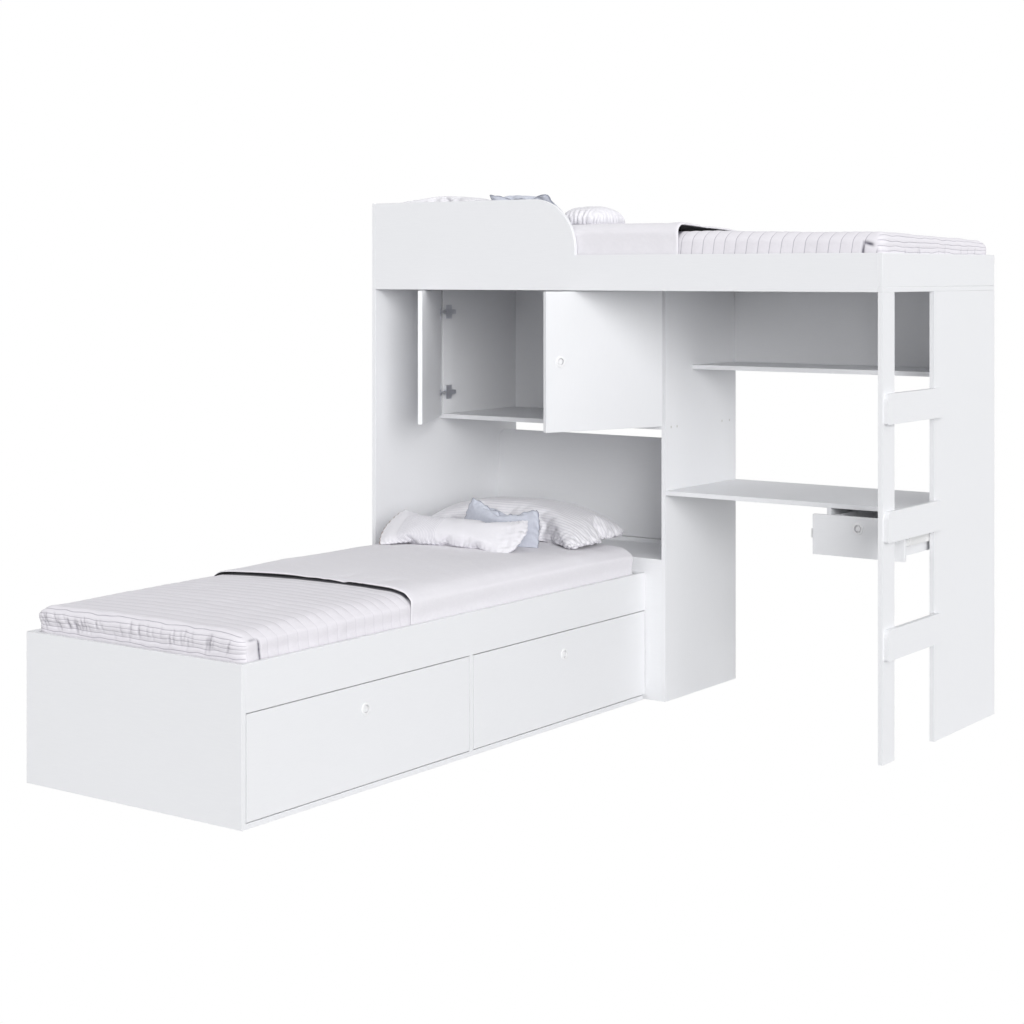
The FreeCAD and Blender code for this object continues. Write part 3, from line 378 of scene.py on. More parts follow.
BOARD_EASE = 1.1 * MM
FITTING_EASE = 0.3 * MM
FINISHES = [
    (UPRIGHT, BOARD_EASE, (
        "left_end_panel", "divider_panel", "right_rear_panel", "ladder_post", "cabinet_back_panel",
        "hinge_strip", "desk_drawer_bracket", "left_door", "right_door",
    )),
    (ACROSS, BOARD_EASE, (
        "front_guard_rail", "loft_deck", "back_rail", "cabinet_floor", "upper_shelf",
        "shelf_back_panel", "desk_top", "niche_front_panel", "niche_shelf", "headboard_ledge",
        "headboard_panel", "bed_foot_panel", "bed_head_panel", "bed_partition",
        "desk_drawer_front", "foot_drawer_box", "head_drawer_box",
    )),
    (DEEP, BOARD_EASE, (
        "ladder_rungs", "right_end_rail", "bed_left_panel", "bed_side_rail", "bed_base_rail",
        "desk_drawer_box", "foot_drawer_front", "head_drawer_front",
    )),
    (NICKEL, FITTING_EASE, (
        "hinge_arms", "left_door_hinge_cups", "right_door_hinge_cups", "left_hinge_links",
        "right_hinge_links",
    )),
    (ENAMEL, FITTING_EASE, (
        "slide_channels", "desk_drawer_runners", "foot_drawer_runners", "head_drawer_runners",
    )),
    (PULL, FITTING_EASE, (
        "left_door_pull", "right_door_pull", "desk_drawer_pull", "foot_drawer_pull",
        "head_drawer_pull",
    )),
    (ZINC, FITTING_EASE, ("panel_screws",)),
    (PINE, FITTING_EASE, ("bed_slats_and_cleats",)),
]

WELD_WITHIN = 0.01 * MM
FLAT_BELOW = math.radians(0.5)
SMOOTH_BELOW = math.radians(20)
EASED_ABOVE = math.radians(40)


def crisp_edges():
    """A node tree that shades curved faces smoothly and leaves every real edge sharp."""
    tree = bpy.data.node_groups.new("crisp_edges", "GeometryNodeTree")
    tree.interface.new_socket("Geometry", in_out="INPUT", socket_type="NodeSocketGeometry")
    tree.interface.new_socket("Geometry", in_out="OUTPUT", socket_type="NodeSocketGeometry")
    given, made = add(tree, "NodeGroupInput"), add(tree, "NodeGroupOutput")
    faces = add(tree, "GeometryNodeSetShadeSmooth", {"domain": "FACE"})
    edges = add(tree, "GeometryNodeSetShadeSmooth", {"domain": "EDGE"})
    turn = add(tree, "GeometryNodeInputMeshEdgeAngle")
    slight = add(tree, "FunctionNodeCompare", {"data_type": "FLOAT", "operation": "LESS_THAN"})
    join(tree, turn.outputs[0], slight.inputs[0])
    join(tree, SMOOTH_BELOW, slight.inputs[1])
    join(tree, given.outputs[0], faces.inputs[0])
    join(tree, faces.outputs[0], edges.inputs[0])
    join(tree, slight.outputs[0], edges.inputs[2])
    join(tree, edges.outputs[0], made.inputs[0])
    return tree


CRISP_EDGES = crisp_edges()


def ease_edges(piece, ease):
    """Join the piece's triangles into whole faces, and break its edges by this much."""
    weld = piece.modifiers.new("weld", "WELD")
    weld.merge_threshold = WELD_WITHIN
    whole = piece.modifiers.new("whole_faces", "DECIMATE")
    whole.decimate_type = "DISSOLVE"
    whole.angle_limit = FLAT_BELOW
    bevel = piece.modifiers.new("eased_edges", "BEVEL")
    bevel.width = ease
    bevel.segments = 2
    bevel.limit_method = "ANGLE"
    bevel.angle_limit = EASED_ABOVE
    bevel.use_clamp_overlap = True


def dress(name, material, ease):
    """Give a CAD node its material and softly broken edges. A drawer box's boards meet at single
    edges, where easing would tear them, so they stay square."""
    piece = nodes[name]
    piece.data.materials.clear()
    piece.data.materials.append(material)
    if not name.endswith("_drawer_box"):
        ease_edges(piece, ease)
    crisp = piece.modifiers.new("crisp_edges", "NODES")
    crisp.node_group = CRISP_EDGES


for material, ease, names in FINISHES:
    for name in names:
        dress(name, material, ease)


# ---------------------------------------------------------------- mesh helpers


def put_in_scene(name, data):
    """A new object in the scene, made of a mesh, a light or a camera."""
    piece = bpy.data.objects.new(name, data)
    bpy.context.scene.collection.objects.link(piece)
    return piece


def finish_mesh(mesh, material, values):
    """Give a mesh smooth faces, its one material, and each named value at its points."""
    mesh.polygons.foreach_set("use_smooth", [True] * len(mesh.polygons))
    mesh.materials.clear()
    mesh.materials.append(material)
    for key, numbers in values.items():
        made = mesh.attributes.new(key, "FLOAT", "POINT")
        made.data.foreach_set("value", np.asarray(numbers, np.float32))


def mesh_object(name, points, faces, material, values):
    """A smooth mesh object from points and faces, with named values at its points."""
    mesh = bpy.data.meshes.new(name)
    mesh.from_pydata([tuple(p) for p in points], [], faces)
    mesh.update()
    finish_mesh(mesh, material, values)
    return put_in_scene(name, mesh)


def point_array(mesh):
    """A mesh's points as an array."""
    return np.array([vertex.co[:] for vertex in mesh.vertices])


def smoothstep(value, low, high):
    """0 below low, 1 above high, and a smooth rise between them."""
    share = np.clip((value - low) / (high - low), 0.0, 1.0)
    return share * share * (3.0 - 2.0 * share)


def ripple(points, length, seed, waves=9):
    """Wandering soft waves of about one length, between -1 and 1."""
    draw = np.random.RandomState(seed)
    total = np.zeros(len(points))
    for _ in range(waves):
        direction = draw.normal(size=3)
        direction /= np.linalg.norm(direction)
        pace = 2 * math.pi / (length * draw.uniform(0.6, 1.7))
        total += np.sin(points @ direction * pace + draw.uniform(0, 2 * math.pi))
    return total / math.sqrt(waves * 2.0)


def face_normals(points, faces):
    """An outward normal at each point, from quads."""
    quads = np.asarray(faces)
    across = points[quads[:, 2]] - points[quads[:, 0]]
    along = points[quads[:, 3]] - points[quads[:, 1]]
    flat = np.cross(across, along)
    total = np.zeros_like(points)
    for corner in range(4):
        np.add.at(total, quads[:, corner], flat)
    return total / np.maximum(np.linalg.norm(total, axis=1), 1e-12)[:, None]


def crease_depth(points, creases):
    """How deep each point lies in any of the creases, 0 outside them and 1 in the deepest. A crease
    is (start, end, half width, depth): it fades towards its ends."""
    total = np.zeros(len(points))
    for start, end, width, depth in creases:
        start, end = np.array(start), np.array(end)
        line = end - start
        length = np.linalg.norm(line)
        share = np.clip((points - start) @ line / length**2, 0.0, 1.0)
        away = np.linalg.norm(points - start - share[:, None] * line, axis=1)
        fade = np.sin(np.pi * np.clip(share, 0.02, 0.98)) ** 0.5
        total += depth * fade * np.exp(-((away / width) ** 2))
    return total


SIDES = {
    "top": (2, 1),
    "bottom": (2, 0),
    "foot": (0, 0),
    "head": (0, 1),
    "left": (1, 1),
    "right": (1, 0),
}


def block_lattice(counts, sides):
    """The lattice points on the chosen sides of a block, and the quads between them, facing out."""
    index, cells, quads = {}, [], []

    def number(cell):
        if cell not in index:
            index[cell] = len(cells)
            cells.append(cell)
        return index[cell]

    for side in sides:
        axis, end = SIDES[side]
        first, second = [a for a in range(3) if a != axis]
        if axis == 1:
            first, second = second, first
        for a in range(counts[first]):
            for b in range(counts[second]):
                ring = []
                for da, db in ((0, 0), (1, 0), (1, 1), (0, 1)):
                    cell = [0, 0, 0]
                    cell[axis] = counts[axis] * end
                    cell[first], cell[second] = a + da, b + db
                    ring.append(number(tuple(cell)))
                quads.append(ring if end else ring[::-1])
    return np.array(cells), quads


def rounded(points, low, high, radius):
    """Points on a block's surface, taken to the same block with rounded edges. The radius may be
    one for all, or one along each axis."""
    inner_low, inner_high = low + radius, high - radius
    inside = np.clip(points, inner_low, inner_high)
    out = points - inside
    length = np.linalg.norm(out / radius, axis=1)
    return inside + out / np.maximum(length, 1e-9)[:, None]


# ---------------------------------------------------------------- beds and their own axes


class Bed:
    """A bed's own axes: u from the foot towards the head, v across to the left of a sleeper lying
    on their back with their feet at zero, w up, with zero at the mattress's top at the foot."""

    def __init__(self, mattress, turn):
        low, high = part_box(mattress)
        middle = (low + high) / 2
        size = high - low
        self.turn = Matrix.Rotation(turn, 3, "Z")
        along = self.turn @ Vector((1, 0, 0))
        self.length = abs(size.dot(Vector(map(abs, along))))
        self.width = size.x + size.y - self.length
        self.half = self.width / 2
        self.thickness = size.z
        self.origin = Vector((middle.x, middle.y, high.z)) - along * (self.length / 2)

    def world(self, points):
        """Points in the bed's own axes, taken to the object's."""
        return points @ np.array(self.turn).T + np.array(self.origin)

    def own(self, points):
        """Points in the object's axes, taken to the bed's own."""
        return (points - np.array(self.origin)) @ np.array(self.turn)


LOFT = Bed("loft_mattress", math.pi)
LOWER = Bed("lower_mattress", math.pi / 2)


# ---------------------------------------------------------------- how high the bedding lies


def shoulder(side):
    """How far the bedding falls, in millimetres, as it rolls over the long edges of a mattress."""
    return 8 * smoothstep(-side, 0.8, 1.0) + 3 * smoothstep(side, 0.86, 1.0)


def lower_spread_height(u, v):
    """The ribbed quilt on the lower bed: low at the foot and by the wall, fuller in the middle."""
    side = v / LOWER.half
    rise = 0.5 + 0.5 * smoothstep(u, 0.0, 0.45)
    return (23 - 5.5 * side - 11.5 * side**2 - shoulder(side)) * rise * MM


def lower_cover_height(u, v):
    """The smooth cover on the lower bed, which runs under the pillows to the head."""
    side = v / LOWER.half
    fall = 1 - 0.35 * smoothstep(u, 1.5, LOWER.length)
    return (37 - 5.5 * side - 14 * side**2 - shoulder(side)) * fall * MM


def loft_spread_height(u, v):
    """The ribbed quilt on the loft: fullest by the turned-back part and along the guard's side."""
    side = v / LOFT.half
    return (34 + 9 * smoothstep(u, 0.1, 0.6) + 9 * side) * MM


def loft_fold_height(u, v):
    """The turned-back part on the loft: plump along the front and flatter towards the wall."""
    side = v / LOFT.half
    return (61 + 17 * side + 2 * smoothstep(u, 0.68, 0.9)) * MM


# ---------------------------------------------------------------- mattresses


SHEET_STEP = 14 * MM
MATTRESS_ROUND = 28 * MM
SHEET_INSET = 2.6 * MM


def mattress(bed, name, node, seed):
    """A mattress in a fitted sheet: crowned, soft at its edges, with the sheet's faint pulls."""
    low = np.array([0, -bed.half, -bed.thickness])
    high = np.array([bed.length, bed.half, 0.0])
    counts = [int(round(side / SHEET_STEP)) for side in high - low]
    cells, quads = block_lattice(counts, SIDES)
    flat = low + cells / np.array(counts) * (high - low)
    points = rounded(flat, low, high, MATTRESS_ROUND)
    normals = face_normals(points, quads)
    middle_u = np.sin(np.pi * np.clip(points[:, 0] / bed.length, 0, 1)) ** 0.5
    middle_v = np.cos(np.pi * np.clip(points[:, 1] / bed.width, -0.5, 0.5)) ** 0.5
    crown = 2.5 * MM * middle_u * middle_v * smoothstep(normals[:, 2], 0.5, 1.0)
    side = 1.0 - np.abs(normals[:, 2])
    pulls = ripple(points * np.array([1, 1, 0.12]), 90 * MM, seed) * side * 0.7 * MM
    soft = ripple(points, 260 * MM, seed + 1) * 0.5 * MM
    points = points + normals * (crown - SHEET_INSET + pulls + soft)[:, None]
    piece = mesh_object(name, bed.world(points), quads, SHEET_COTTON, {})
    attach(piece, "root")
    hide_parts(node)


mattress(LOFT, "loft_mattress_in_sheet", "loft_mattress", 11)
mattress(LOWER, "lower_mattress_in_sheet", "lower_mattress", 12)


# ---------------------------------------------------------------- quilts


EDGE_RADII = np.array([18, 46, 36]) * MM
LINING_RADII = np.array([24, 27, 27]) * MM
RIB_PITCH = 39 * MM
FOOT_RIB_PITCH = 15.5 * MM
QUILT_DROP = 80 * MM
LINING_LIFT = 0.8 * MM
LEAST_THICKNESS = 2 * MM
HEM_REACH = 4 * MM
FOLD_AT = 682 * MM
LOWER_END = 1865 * MM
LOFT_END = 1194 * MM
LOWER_HEM = 3.8 * MM
LOFT_HEM = 6.5 * MM


def hanging(share, block, closed_end):
    """Points on a block (low, high, radius) whose edges are rounded, but not below or at its open
    end."""
    low, high, radius = block
    far_low, far_high = low.copy(), high.copy()
    far_low[2] -= radius[2]
    if closed_end == "foot":
        far_high[0] += radius[0]
    else:
        far_low[0] -= radius[0]
    return rounded(low + share * (high - low), far_low, far_high, radius)


def open_border(quads):
    """The edges that have a quad on one side only, each from its first point to its second."""
    edges = dict.fromkeys(edge for ring in quads for edge in zip(ring, ring[1:] + ring[:1]))
    return [edge for edge in edges if edge[::-1] not in edges]


def hem_ridge(skin, lining, cells, starts, open_end, outwards):
    """The points of a rounded hem, half way between skin and lining and a little past them."""
    ridge = []
    for a in starts:
        away = np.zeros(3)
        if cells[a][2] == 0:
            away[2] = -1.0
        if cells[a][0] == open_end:
            away[0] = outwards
        thick = np.linalg.norm(skin[a] - lining[a])
        ridge.append((skin[a] + lining[a]) / 2 + away * min(thick / 2, HEM_REACH))
    return np.array(ridge)


def cover(name, bed, outer, inner, closed_end, steps, heights, shape, material):
    """A padded cover over a bed: a top, two hanging sides and one closed end. outer and inner are
    (low, high, radius) of two rounded blocks, and heights gives how high the top and the underside
    lie. shape moves the outer points along their normals and gives what the material reads."""
    counts = [int(round(side / step)) for side, step in zip(outer[1] - outer[0], steps)]
    cells, quads = block_lattice(counts, ("top", "left", "right", closed_end))
    share = cells / np.array(counts)
    skin = hanging(share, outer, closed_end)
    normals = face_normals(skin, quads)
    lift, values = shape(skin, normals)
    lining = hanging(share, inner, closed_end)
    raised = []
    for layer, block, height in zip((skin, lining), (outer, inner), heights):
        full = block[1][2]
        upper = smoothstep(layer[:, 2], full - 2.4 * block[2][2], full)
        raised.append((height(layer[:, 0], layer[:, 1]) - full) * upper)
    skin = skin + normals * lift[:, None]
    skin[:, 2] += raised[0]
    lining[:, 2] += raised[1]
    between = ((skin - lining) * normals).sum(axis=1)
    lining -= normals * np.maximum(LEAST_THICKNESS - between, 0)[:, None]

    count = len(skin)
    border = open_border(quads)
    starts = [a for a, _ in border]
    open_end, outwards = (0, -1.0) if closed_end == "head" else (counts[0], 1.0)
    ridge = hem_ridge(skin, lining, cells, starts, open_end, outwards)
    number = {a: 2 * count + place for place, a in enumerate(starts)}
    faces = quads + [[count + a for a in reversed(ring)] for ring in quads]
    for a, b in border:
        faces.append([b, a, number[a], number[b]])
        faces.append([number[b], number[a], count + a, count + b])
    points = np.vstack([skin, lining, ridge])
    whole = {"inside": np.repeat([0.0, 1.0, 0.0], [count, count, len(ridge)])}
    for key, numbers in values.items():
        whole[key] = np.concatenate([numbers, numbers, numbers[starts]])
    return mesh_object(name, bed.world(points), faces, material, whole)


def rib(phase, crest):
    """Sewn channels: 0 at the top of each puffed rib and -1 in the stitched valley."""
    return np.abs(np.sin(np.pi * phase)) ** crest - 1.0


def foot_gathers(bed, out, count, seed):
    """Short upright creases down the foot end, which lean outwards towards the corners."""
    draw = np.random.RandomState(seed)
    gathers = []
    for _ in range(count):
        side = draw.uniform(-0.94, 0.94)
        lean = (18 * side + draw.uniform(-8, 8)) * MM
        start = -draw.uniform(0.45, 0.8) * QUILT_DROP
        height = draw.uniform(30, 62) * MM
        low = (-out, side * bed.half, start)
        high = (-out, side * bed.half + lean, start + height)
        gathers.append((low, high, draw.uniform(1.8, 3.8) * MM, draw.uniform(0.3, 1.0)))
    return gathers


def long_creases(bed, thick, seed):
    """A few long soft creases where the spread quilt was pulled straight."""
    draw = np.random.RandomState(seed)
    creases = []
    for _ in range(6):
        u = draw.uniform(0.25, 0.8) * FOLD_AT
        v = draw.uniform(-0.6, 0.5) * bed.half
        run = draw.uniform(0.16, 0.36)
        slope = draw.uniform(-0.35, 0.35)
        end = (u + run * slope, v + run, thick)
        creases.append(((u, v, thick), end, 5 * MM, draw.uniform(0.3, 0.7)))
    return creases


def ribbed_quilt(bed, name, node, thick, height, fold_height, hem, tuck_side, lines, gathered, seed):
    """The spread part of a quilt: ribs across the bed, small gathers down the foot end and a tucked
    corner. It dips under the edge of the part that lies on it. lines says how plainly the ribs' lines
    show on the top and on the sides, and gathered how many gathers the foot end has."""
    out = 3.3 * MM
    clear = 0.6 * MM
    end_at = FOLD_AT + 160 * MM
    low = np.array([-out, -bed.half - out, -QUILT_DROP])
    high = np.array([end_at, bed.half + out, thick])
    inner_low = np.array([-clear, -bed.half - clear, -QUILT_DROP])
    inner_high = np.array([end_at, bed.half + clear, LINING_LIFT])
    gathers = foot_gathers(bed, out, gathered, seed)
    tuck_v = tuck_side * (bed.half + out)
    tuck_low, tuck_high = (62 * MM, tuck_v, -QUILT_DROP), (50 * MM, tuck_v, thick * 0.25)
    tuck_fold = (18 * MM, tuck_v, thick * 0.05)
    tuck = [(tuck_low, tuck_high, 3.2 * MM, 1.0), (tuck_high, tuck_fold, 4.5 * MM, 0.8)]
    soft_lines = long_creases(bed, thick, seed + 1)

    def top_height(u, v):
        open_height = height(u, v)
        pressed = np.maximum(fold_height(u, v) - 2.1 * hem, 4.0 * MM)
        share = smoothstep(u, FOLD_AT - 22 * MM, FOLD_AT + 4 * MM)
        return open_height * (1 - share) + np.minimum(pressed, open_height) * share

    def under_height(u, v):
        return np.full(len(u), LINING_LIFT)

    def shape(skin, normals):
        top = smoothstep(normals[:, 2], 0.2, 0.8)
        foot = smoothstep(-normals[:, 0], 0.45, 0.75)
        sides = smoothstep(np.abs(normals[:, 1]), 0.35, 0.8)
        sway = ripple(skin * np.array([1, 1, 0]), 300 * MM, seed + 3) * 2.5 * MM
        slant = 0.16 * (skin[:, 2] - thick) * sides
        along = (skin[:, 0] + sway + slant) / RIB_PITCH
        bend = ripple(skin * np.array([0, 1, 1]), 70 * MM, seed + 5) * 2.4 * MM
        down = (skin[:, 2] + sway * 0.6 + bend) / FOOT_RIB_PITCH
        depth = 1.9 * MM * (1 - foot) * (1 - 0.5 * sides) + 2.2 * MM * foot
        ribs = rib(along, 0.5) * (1 - foot) + rib(down, 0.6) * foot
        press = smoothstep(skin[:, 0], FOLD_AT - 22 * MM, FOLD_AT + 10 * MM)
        gather = crease_depth(skin, gathers)
        tucked = crease_depth(skin, tuck)
        puff = ripple(skin, 120 * MM, seed + 4) * 1.2 * MM
        above_rail = smoothstep(skin[:, 2], -0.65 * QUILT_DROP, -0.2 * QUILT_DROP)
        bulge = above_rail * (1 - top) * (3.5 + 3.5 * foot) * MM
        lift = ribs * depth * (1 - press * 0.6) + puff * (1 - press) + bulge * (1 - press)
        lift -= gather * 6 * MM + tucked * 9 * MM + crease_depth(skin, soft_lines) * 2.6 * MM
        lift -= press * sides * 1.6 * MM
        lift = np.maximum(lift, clear - out + 0.7 * MM)
        # Painted shade: the gathers, the tucked corner and the ribs under the turned-back part's edge are
        # coloured darker, near-black where they are covered.
        covered = smoothstep(skin[:, 0], FOLD_AT - 4 * MM, FOLD_AT) * (1 - 0.7 * sides)
        dark = np.clip(gather * 0.5 + tucked * 1.3 + covered, 0, 1)
        shown = (lines[0] * (1 - sides) + lines[1] * sides) * (1 - foot)
        return lift, {
            "rib_along": along,
            "rib_down": down,
            "foot_share": foot,
            "top_share": shown,
            "seam_and_painted_shade": dark,
        }

    outer = (low, high, EDGE_RADII)
    inner = (inner_low, inner_high, LINING_RADII)
    steps = (3.6 * MM, 4.2 * MM, 3.6 * MM)
    heights = (top_height, under_height)
    piece = cover(name, bed, outer, inner, "foot", steps, heights, shape, QUILT_FACE)
    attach(piece, "root")
    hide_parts(node)


def smooth_fold(bed, name, thick, height, hem, side_puff, end_at, seed):
    """The smooth part over the ribs: a rounded free edge that stands off the ribs with a dark gap
    below it, soft pulls beside that edge, and a rolled edge towards the head."""
    # The gap below the free edge looks dark by its shape and by painted shade: the lining and the covered
    # ribs are coloured near-black.
    out = 4.6 * MM
    clear = 2.6 * MM
    low = np.array([FOLD_AT, -bed.half - out, -QUILT_DROP + 2 * MM])
    high = np.array([end_at, bed.half + out, thick])
    inner_low = np.array([FOLD_AT, -bed.half - clear, -QUILT_DROP + 2 * MM])
    inner_high = np.array([end_at - 12 * MM, bed.half + clear, thick - hem])
    draw = np.random.RandomState(seed)
    pulls = []
    for _ in range(12):
        v = draw.uniform(-0.85, 0.85) * bed.half
        run = draw.uniform(60, 210) * MM
        lean = draw.uniform(-70, 70) * MM
        start = (FOLD_AT - 5 * MM, v, thick)
        end = (FOLD_AT + run, v + lean, thick)
        pulls.append((start, end, draw.uniform(7, 13) * MM, draw.uniform(0.4, 1.0)))

    def top_height(u, v):
        round_off = np.clip((u - FOLD_AT) / (0.7 * hem), 0, 1)
        fall = 0.5 * hem * (1 - np.sqrt(1 - (1 - round_off) ** 2))
        return height(u, v) - fall

    def under_height(u, v):
        gap = 1 - smoothstep(u, FOLD_AT + 25 * MM, FOLD_AT + 90 * MM)
        rest = np.maximum(height(u, v) - 2.1 * hem, 4.0 * MM) + 1.0 * MM
        return rest * (1 - gap) + np.maximum(height(u, v) - hem, 5.0 * MM) * gap

    def shape(skin, normals):
        top = smoothstep(normals[:, 2], 0.2, 0.8)
        edge = 1 - smoothstep(skin[:, 0], FOLD_AT, FOLD_AT + 90 * MM)
        puff = ripple(skin, 230 * MM, seed + 4) * 1.9 * MM
        fine = ripple(skin, 70 * MM, seed + 5) * 0.6 * MM
        wander = ripple(skin * np.array([0, 1, 0]), 180 * MM, seed + 6) * 1.6 * MM
        above_rail = smoothstep(skin[:, 2], -0.65 * QUILT_DROP, -0.1 * QUILT_DROP)
        lift = puff * top + fine + edge * top * (1.0 * MM + wander)
        lift += above_rail * (1 - top) * side_puff
        lift -= crease_depth(skin, pulls) * 4 * MM
        return lift, {}

    outer = (low, high, EDGE_RADII)
    inner = (inner_low, inner_high, LINING_RADII)
    steps = (5 * MM, 8 * MM, 5 * MM)
    piece = cover(name, bed, outer, inner, "head", steps, (top_height, under_height), shape, LINING)
    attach(piece, "root")


ribbed_quilt(
    LOWER, "lower_quilt_spread", "lower_quilt", thick=24 * MM, height=lower_spread_height,
    fold_height=lower_cover_height, hem=LOWER_HEM, tuck_side=-1, lines=(0.5, 0.22), gathered=46,
    seed=21,
)
ribbed_quilt(
    LOFT, "loft_quilt_spread", "loft_quilt", thick=44 * MM, height=loft_spread_height,
    fold_height=loft_fold_height, hem=LOFT_HEM, tuck_side=1, lines=(0.5, 0.9), gathered=9,
    seed=22,
)
smooth_fold(
    LOWER, "lower_smooth_cover", thick=34 * MM, height=lower_cover_height, hem=LOWER_HEM,
    side_puff=4 * MM, end_at=LOWER_END, seed=31,
)
smooth_fold(
    LOFT, "loft_quilt_turnback", thick=72 * MM, height=loft_fold_height, hem=LOFT_HEM,
    side_puff=3.5 * MM, end_at=LOFT_END, seed=32,
)


# ---------------------------------------------------------------- pillows


PANEL_STEP = 12 * MM
PANEL_EASE = 1.08
PUFF_FRAMES = 22


def pillow_panels(name, length, width, full):
    """Two flat panels of cloth sewn together around their rim. Their sides bow out between the
    corners, by the share full, so that they end up straight when the pillow is filled. The mesh
    keeps where each point lies on its panel, and on which panel."""
    counts = int(round(length / PANEL_STEP)), int(round(width / PANEL_STEP))
    number, points, where = {}, [], []
    for side in (1, -1):
        for i in range(counts[0] + 1):
            for j in range(counts[1] + 1):
                rim = i in (0, counts[0]) or j in (0, counts[1])
                if rim and side == -1:
                    number[(side, i, j)] = number[(1, i, j)]
                    continue
                number[(side, i, j)] = len(points)
                a = (i / counts[0] - 0.5) * length
                b = (j / counts[1] - 0.5) * width
                narrow = 1 - full * (2 * b / width) ** 2
                short = 1 - full * (2 * a / length) ** 2
                points.append((a * narrow, b * short, 0.0 if rim else side * 2 * MM))
                where.append((a, b, 0.0 if rim else side))
    faces = []
    for side in (1, -1):
        for i in range(counts[0]):
            for j in range(counts[1]):
                ring = [(i, j), (i + 1, j), (i + 1, j + 1), (i, j + 1)]
                faces.append([number[(side,) + cell] for cell in ring[::side]])
    where = np.array(where)
    values = {"along": where[:, 0], "across": where[:, 1], "panel": where[:, 2]}
    return mesh_object(name + "_panels", np.array(points), faces, SHEET_COTTON, values)


def puff_up(panels):
    """Blow every pair of panels up with the cloth solver, all together, and give their shapes."""
    scene = bpy.context.scene
    for piece in panels:
        cloth = piece.modifiers.new("filling", "CLOTH")
        cloth.settings.quality = 4
        cloth.settings.mass = 0.3
        cloth.settings.tension_stiffness = 12
        cloth.settings.compression_stiffness = 12
        cloth.settings.bending_stiffness = 0.4
        cloth.settings.use_pressure = True
        cloth.settings.uniform_pressure_force = 4.0
        cloth.settings.effector_weights.gravity = 0.0
        cloth.collision_settings.use_collision = False
        cloth.point_cache.frame_start = 1
        cloth.point_cache.frame_end = PUFF_FRAMES
    for moment in range(1, PUFF_FRAMES + 1):
        scene.frame_set(moment)
    shapes = []
    for piece in panels:
        look = piece.evaluated_get(bpy.context.evaluated_depsgraph_get())
        shapes.append(point_array(look.data))
    scene.frame_set(1)
    return shapes


def smoothed_mesh(piece):
    """The piece's mesh rounded and subdivided twice, its points, and the values at them."""
    rounder = piece.modifiers.new("rounder", "SUBSURF")
    rounder.levels = 2
    look = piece.evaluated_get(bpy.context.evaluated_depsgraph_get())
    mesh = bpy.data.meshes.new_from_object(look)
    points = point_array(mesh)
    values = {}
    for key in ("along", "across", "panel"):
        found = np.zeros(len(points), np.float32)
        mesh.attributes[key].data.foreach_get("value", found)
        values[key] = found.astype(float)
    return mesh, points, values


class Pillow:
    """One pillow: the CAD node whose room it fills, the axes that its length, width and thickness
    lie along, and how its cloth is sewn. cut is its length, width and thickness before it is turned
    on the bed and leant over, in millimetres, inset the room that it leaves at its far corner, sink
    how far it reaches below the node's box, full how far its panels bow out, and pressed how much of
    its lower half's thickness is left. skew slides its far side along, and a crown under 1 makes its
    top flatter and its sides steeper."""

    def __init__(
        self, name, node, axes, finish, slot, sew, bed, cut, turn=0, lean=0, inset=(0, 0, 0), sink=10,
        full=0.1, pressed=1.0, skew=0.0, crown=1.0,
    ):
        self.name, self.node, self.axes = name, node, list(axes)
        self.finish, self.slot, self.sew, self.bed = finish, slot, sew, bed
        self.turn = math.radians(turn)
        self.lean = math.radians(lean)
        low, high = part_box(node)
        self.low = np.array(low) - np.array([0, 0, sink * MM])
        self.high = np.array(high) - np.array(inset) * MM
        self.size = (self.high - self.low)[self.axes]
        self.cut = np.array(cut) * MM
        self.length, self.width = self.cut[0] * PANEL_EASE, self.cut[1] * PANEL_EASE
        self.pressed, self.skew, self.crown = pressed, skew, crown
        self.panels = pillow_panels(name, self.length, self.width, full)

    def rest(self, points):
        """How high the bedding under the pillow lies at each point."""
        own = self.bed.own(points)
        if self.bed is LOWER:
            top = np.where(own[:, 0] < LOWER_END, lower_cover_height(own[:, 0], own[:, 1]), -1.0)
        else:
            top = np.where(own[:, 0] < LOFT_END, loft_fold_height(own[:, 0], own[:, 1]), 0.0)
        return top + self.bed.origin.z + 0.6 * MM

    def make(self, shape):
        """Fit the blown shape to the pillow's place, sew it, and press it on what it lies on."""
        self.panels.data.vertices.foreach_set("co", np.asarray(shape, np.float32).ravel())
        self.panels.data.update()
        mesh, points, values = smoothed_mesh(self.panels)
        points = fitted(points, self.cut)
        points[:, 0] += self.skew * points[:, 1]
        half = self.cut[2] / 2
        points[:, 2] = np.sign(points[:, 2]) * half * (np.abs(points[:, 2]) / half) ** self.crown
        points[:, 2] *= np.where(points[:, 2] < 0, self.pressed, 1.0)
        swing = Matrix.Rotation(self.turn, 3, "Z") @ Matrix.Rotation(self.lean, 3, "X")
        points = fitted(points @ np.array(swing).T, self.size)
        mesh.vertices.foreach_set("co", points.astype(np.float32).ravel())
        mesh.update()
        normals = np.array([vertex.normal[:] for vertex in mesh.vertices])
        lift, extra = self.sew(self, points, values)
        points = fitted(points + normals * lift[:, None], self.size)
        placed = np.zeros_like(points)
        placed[:, self.axes] = points
        placed += (self.low + self.high) / 2
        placed[:, 2] = np.maximum(placed[:, 2], self.rest(placed))
        mesh.vertices.foreach_set("co", placed.astype(np.float32).ravel())
        if np.linalg.det(np.eye(3)[self.axes]) < 0:
            mesh.flip_normals()
        finish_mesh(mesh, self.finish, extra)
        mesh.update()
        piece = put_in_scene(self.name, mesh)
        bpy.data.objects.remove(self.panels)
        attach(piece, "root")
        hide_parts(self.node)


def fitted(points, size):
    """Points scaled and centred to a box of this size about zero."""
    low, high = points.min(axis=0), points.max(axis=0)
    return (points - (low + high) / 2) / (high - low) * size


def panel_places(values, apart=0.05):
    """Where each point lies on its panel, with the two panels this far apart."""
    return np.stack([values["along"], values["across"], values["panel"] * apart], axis=1)


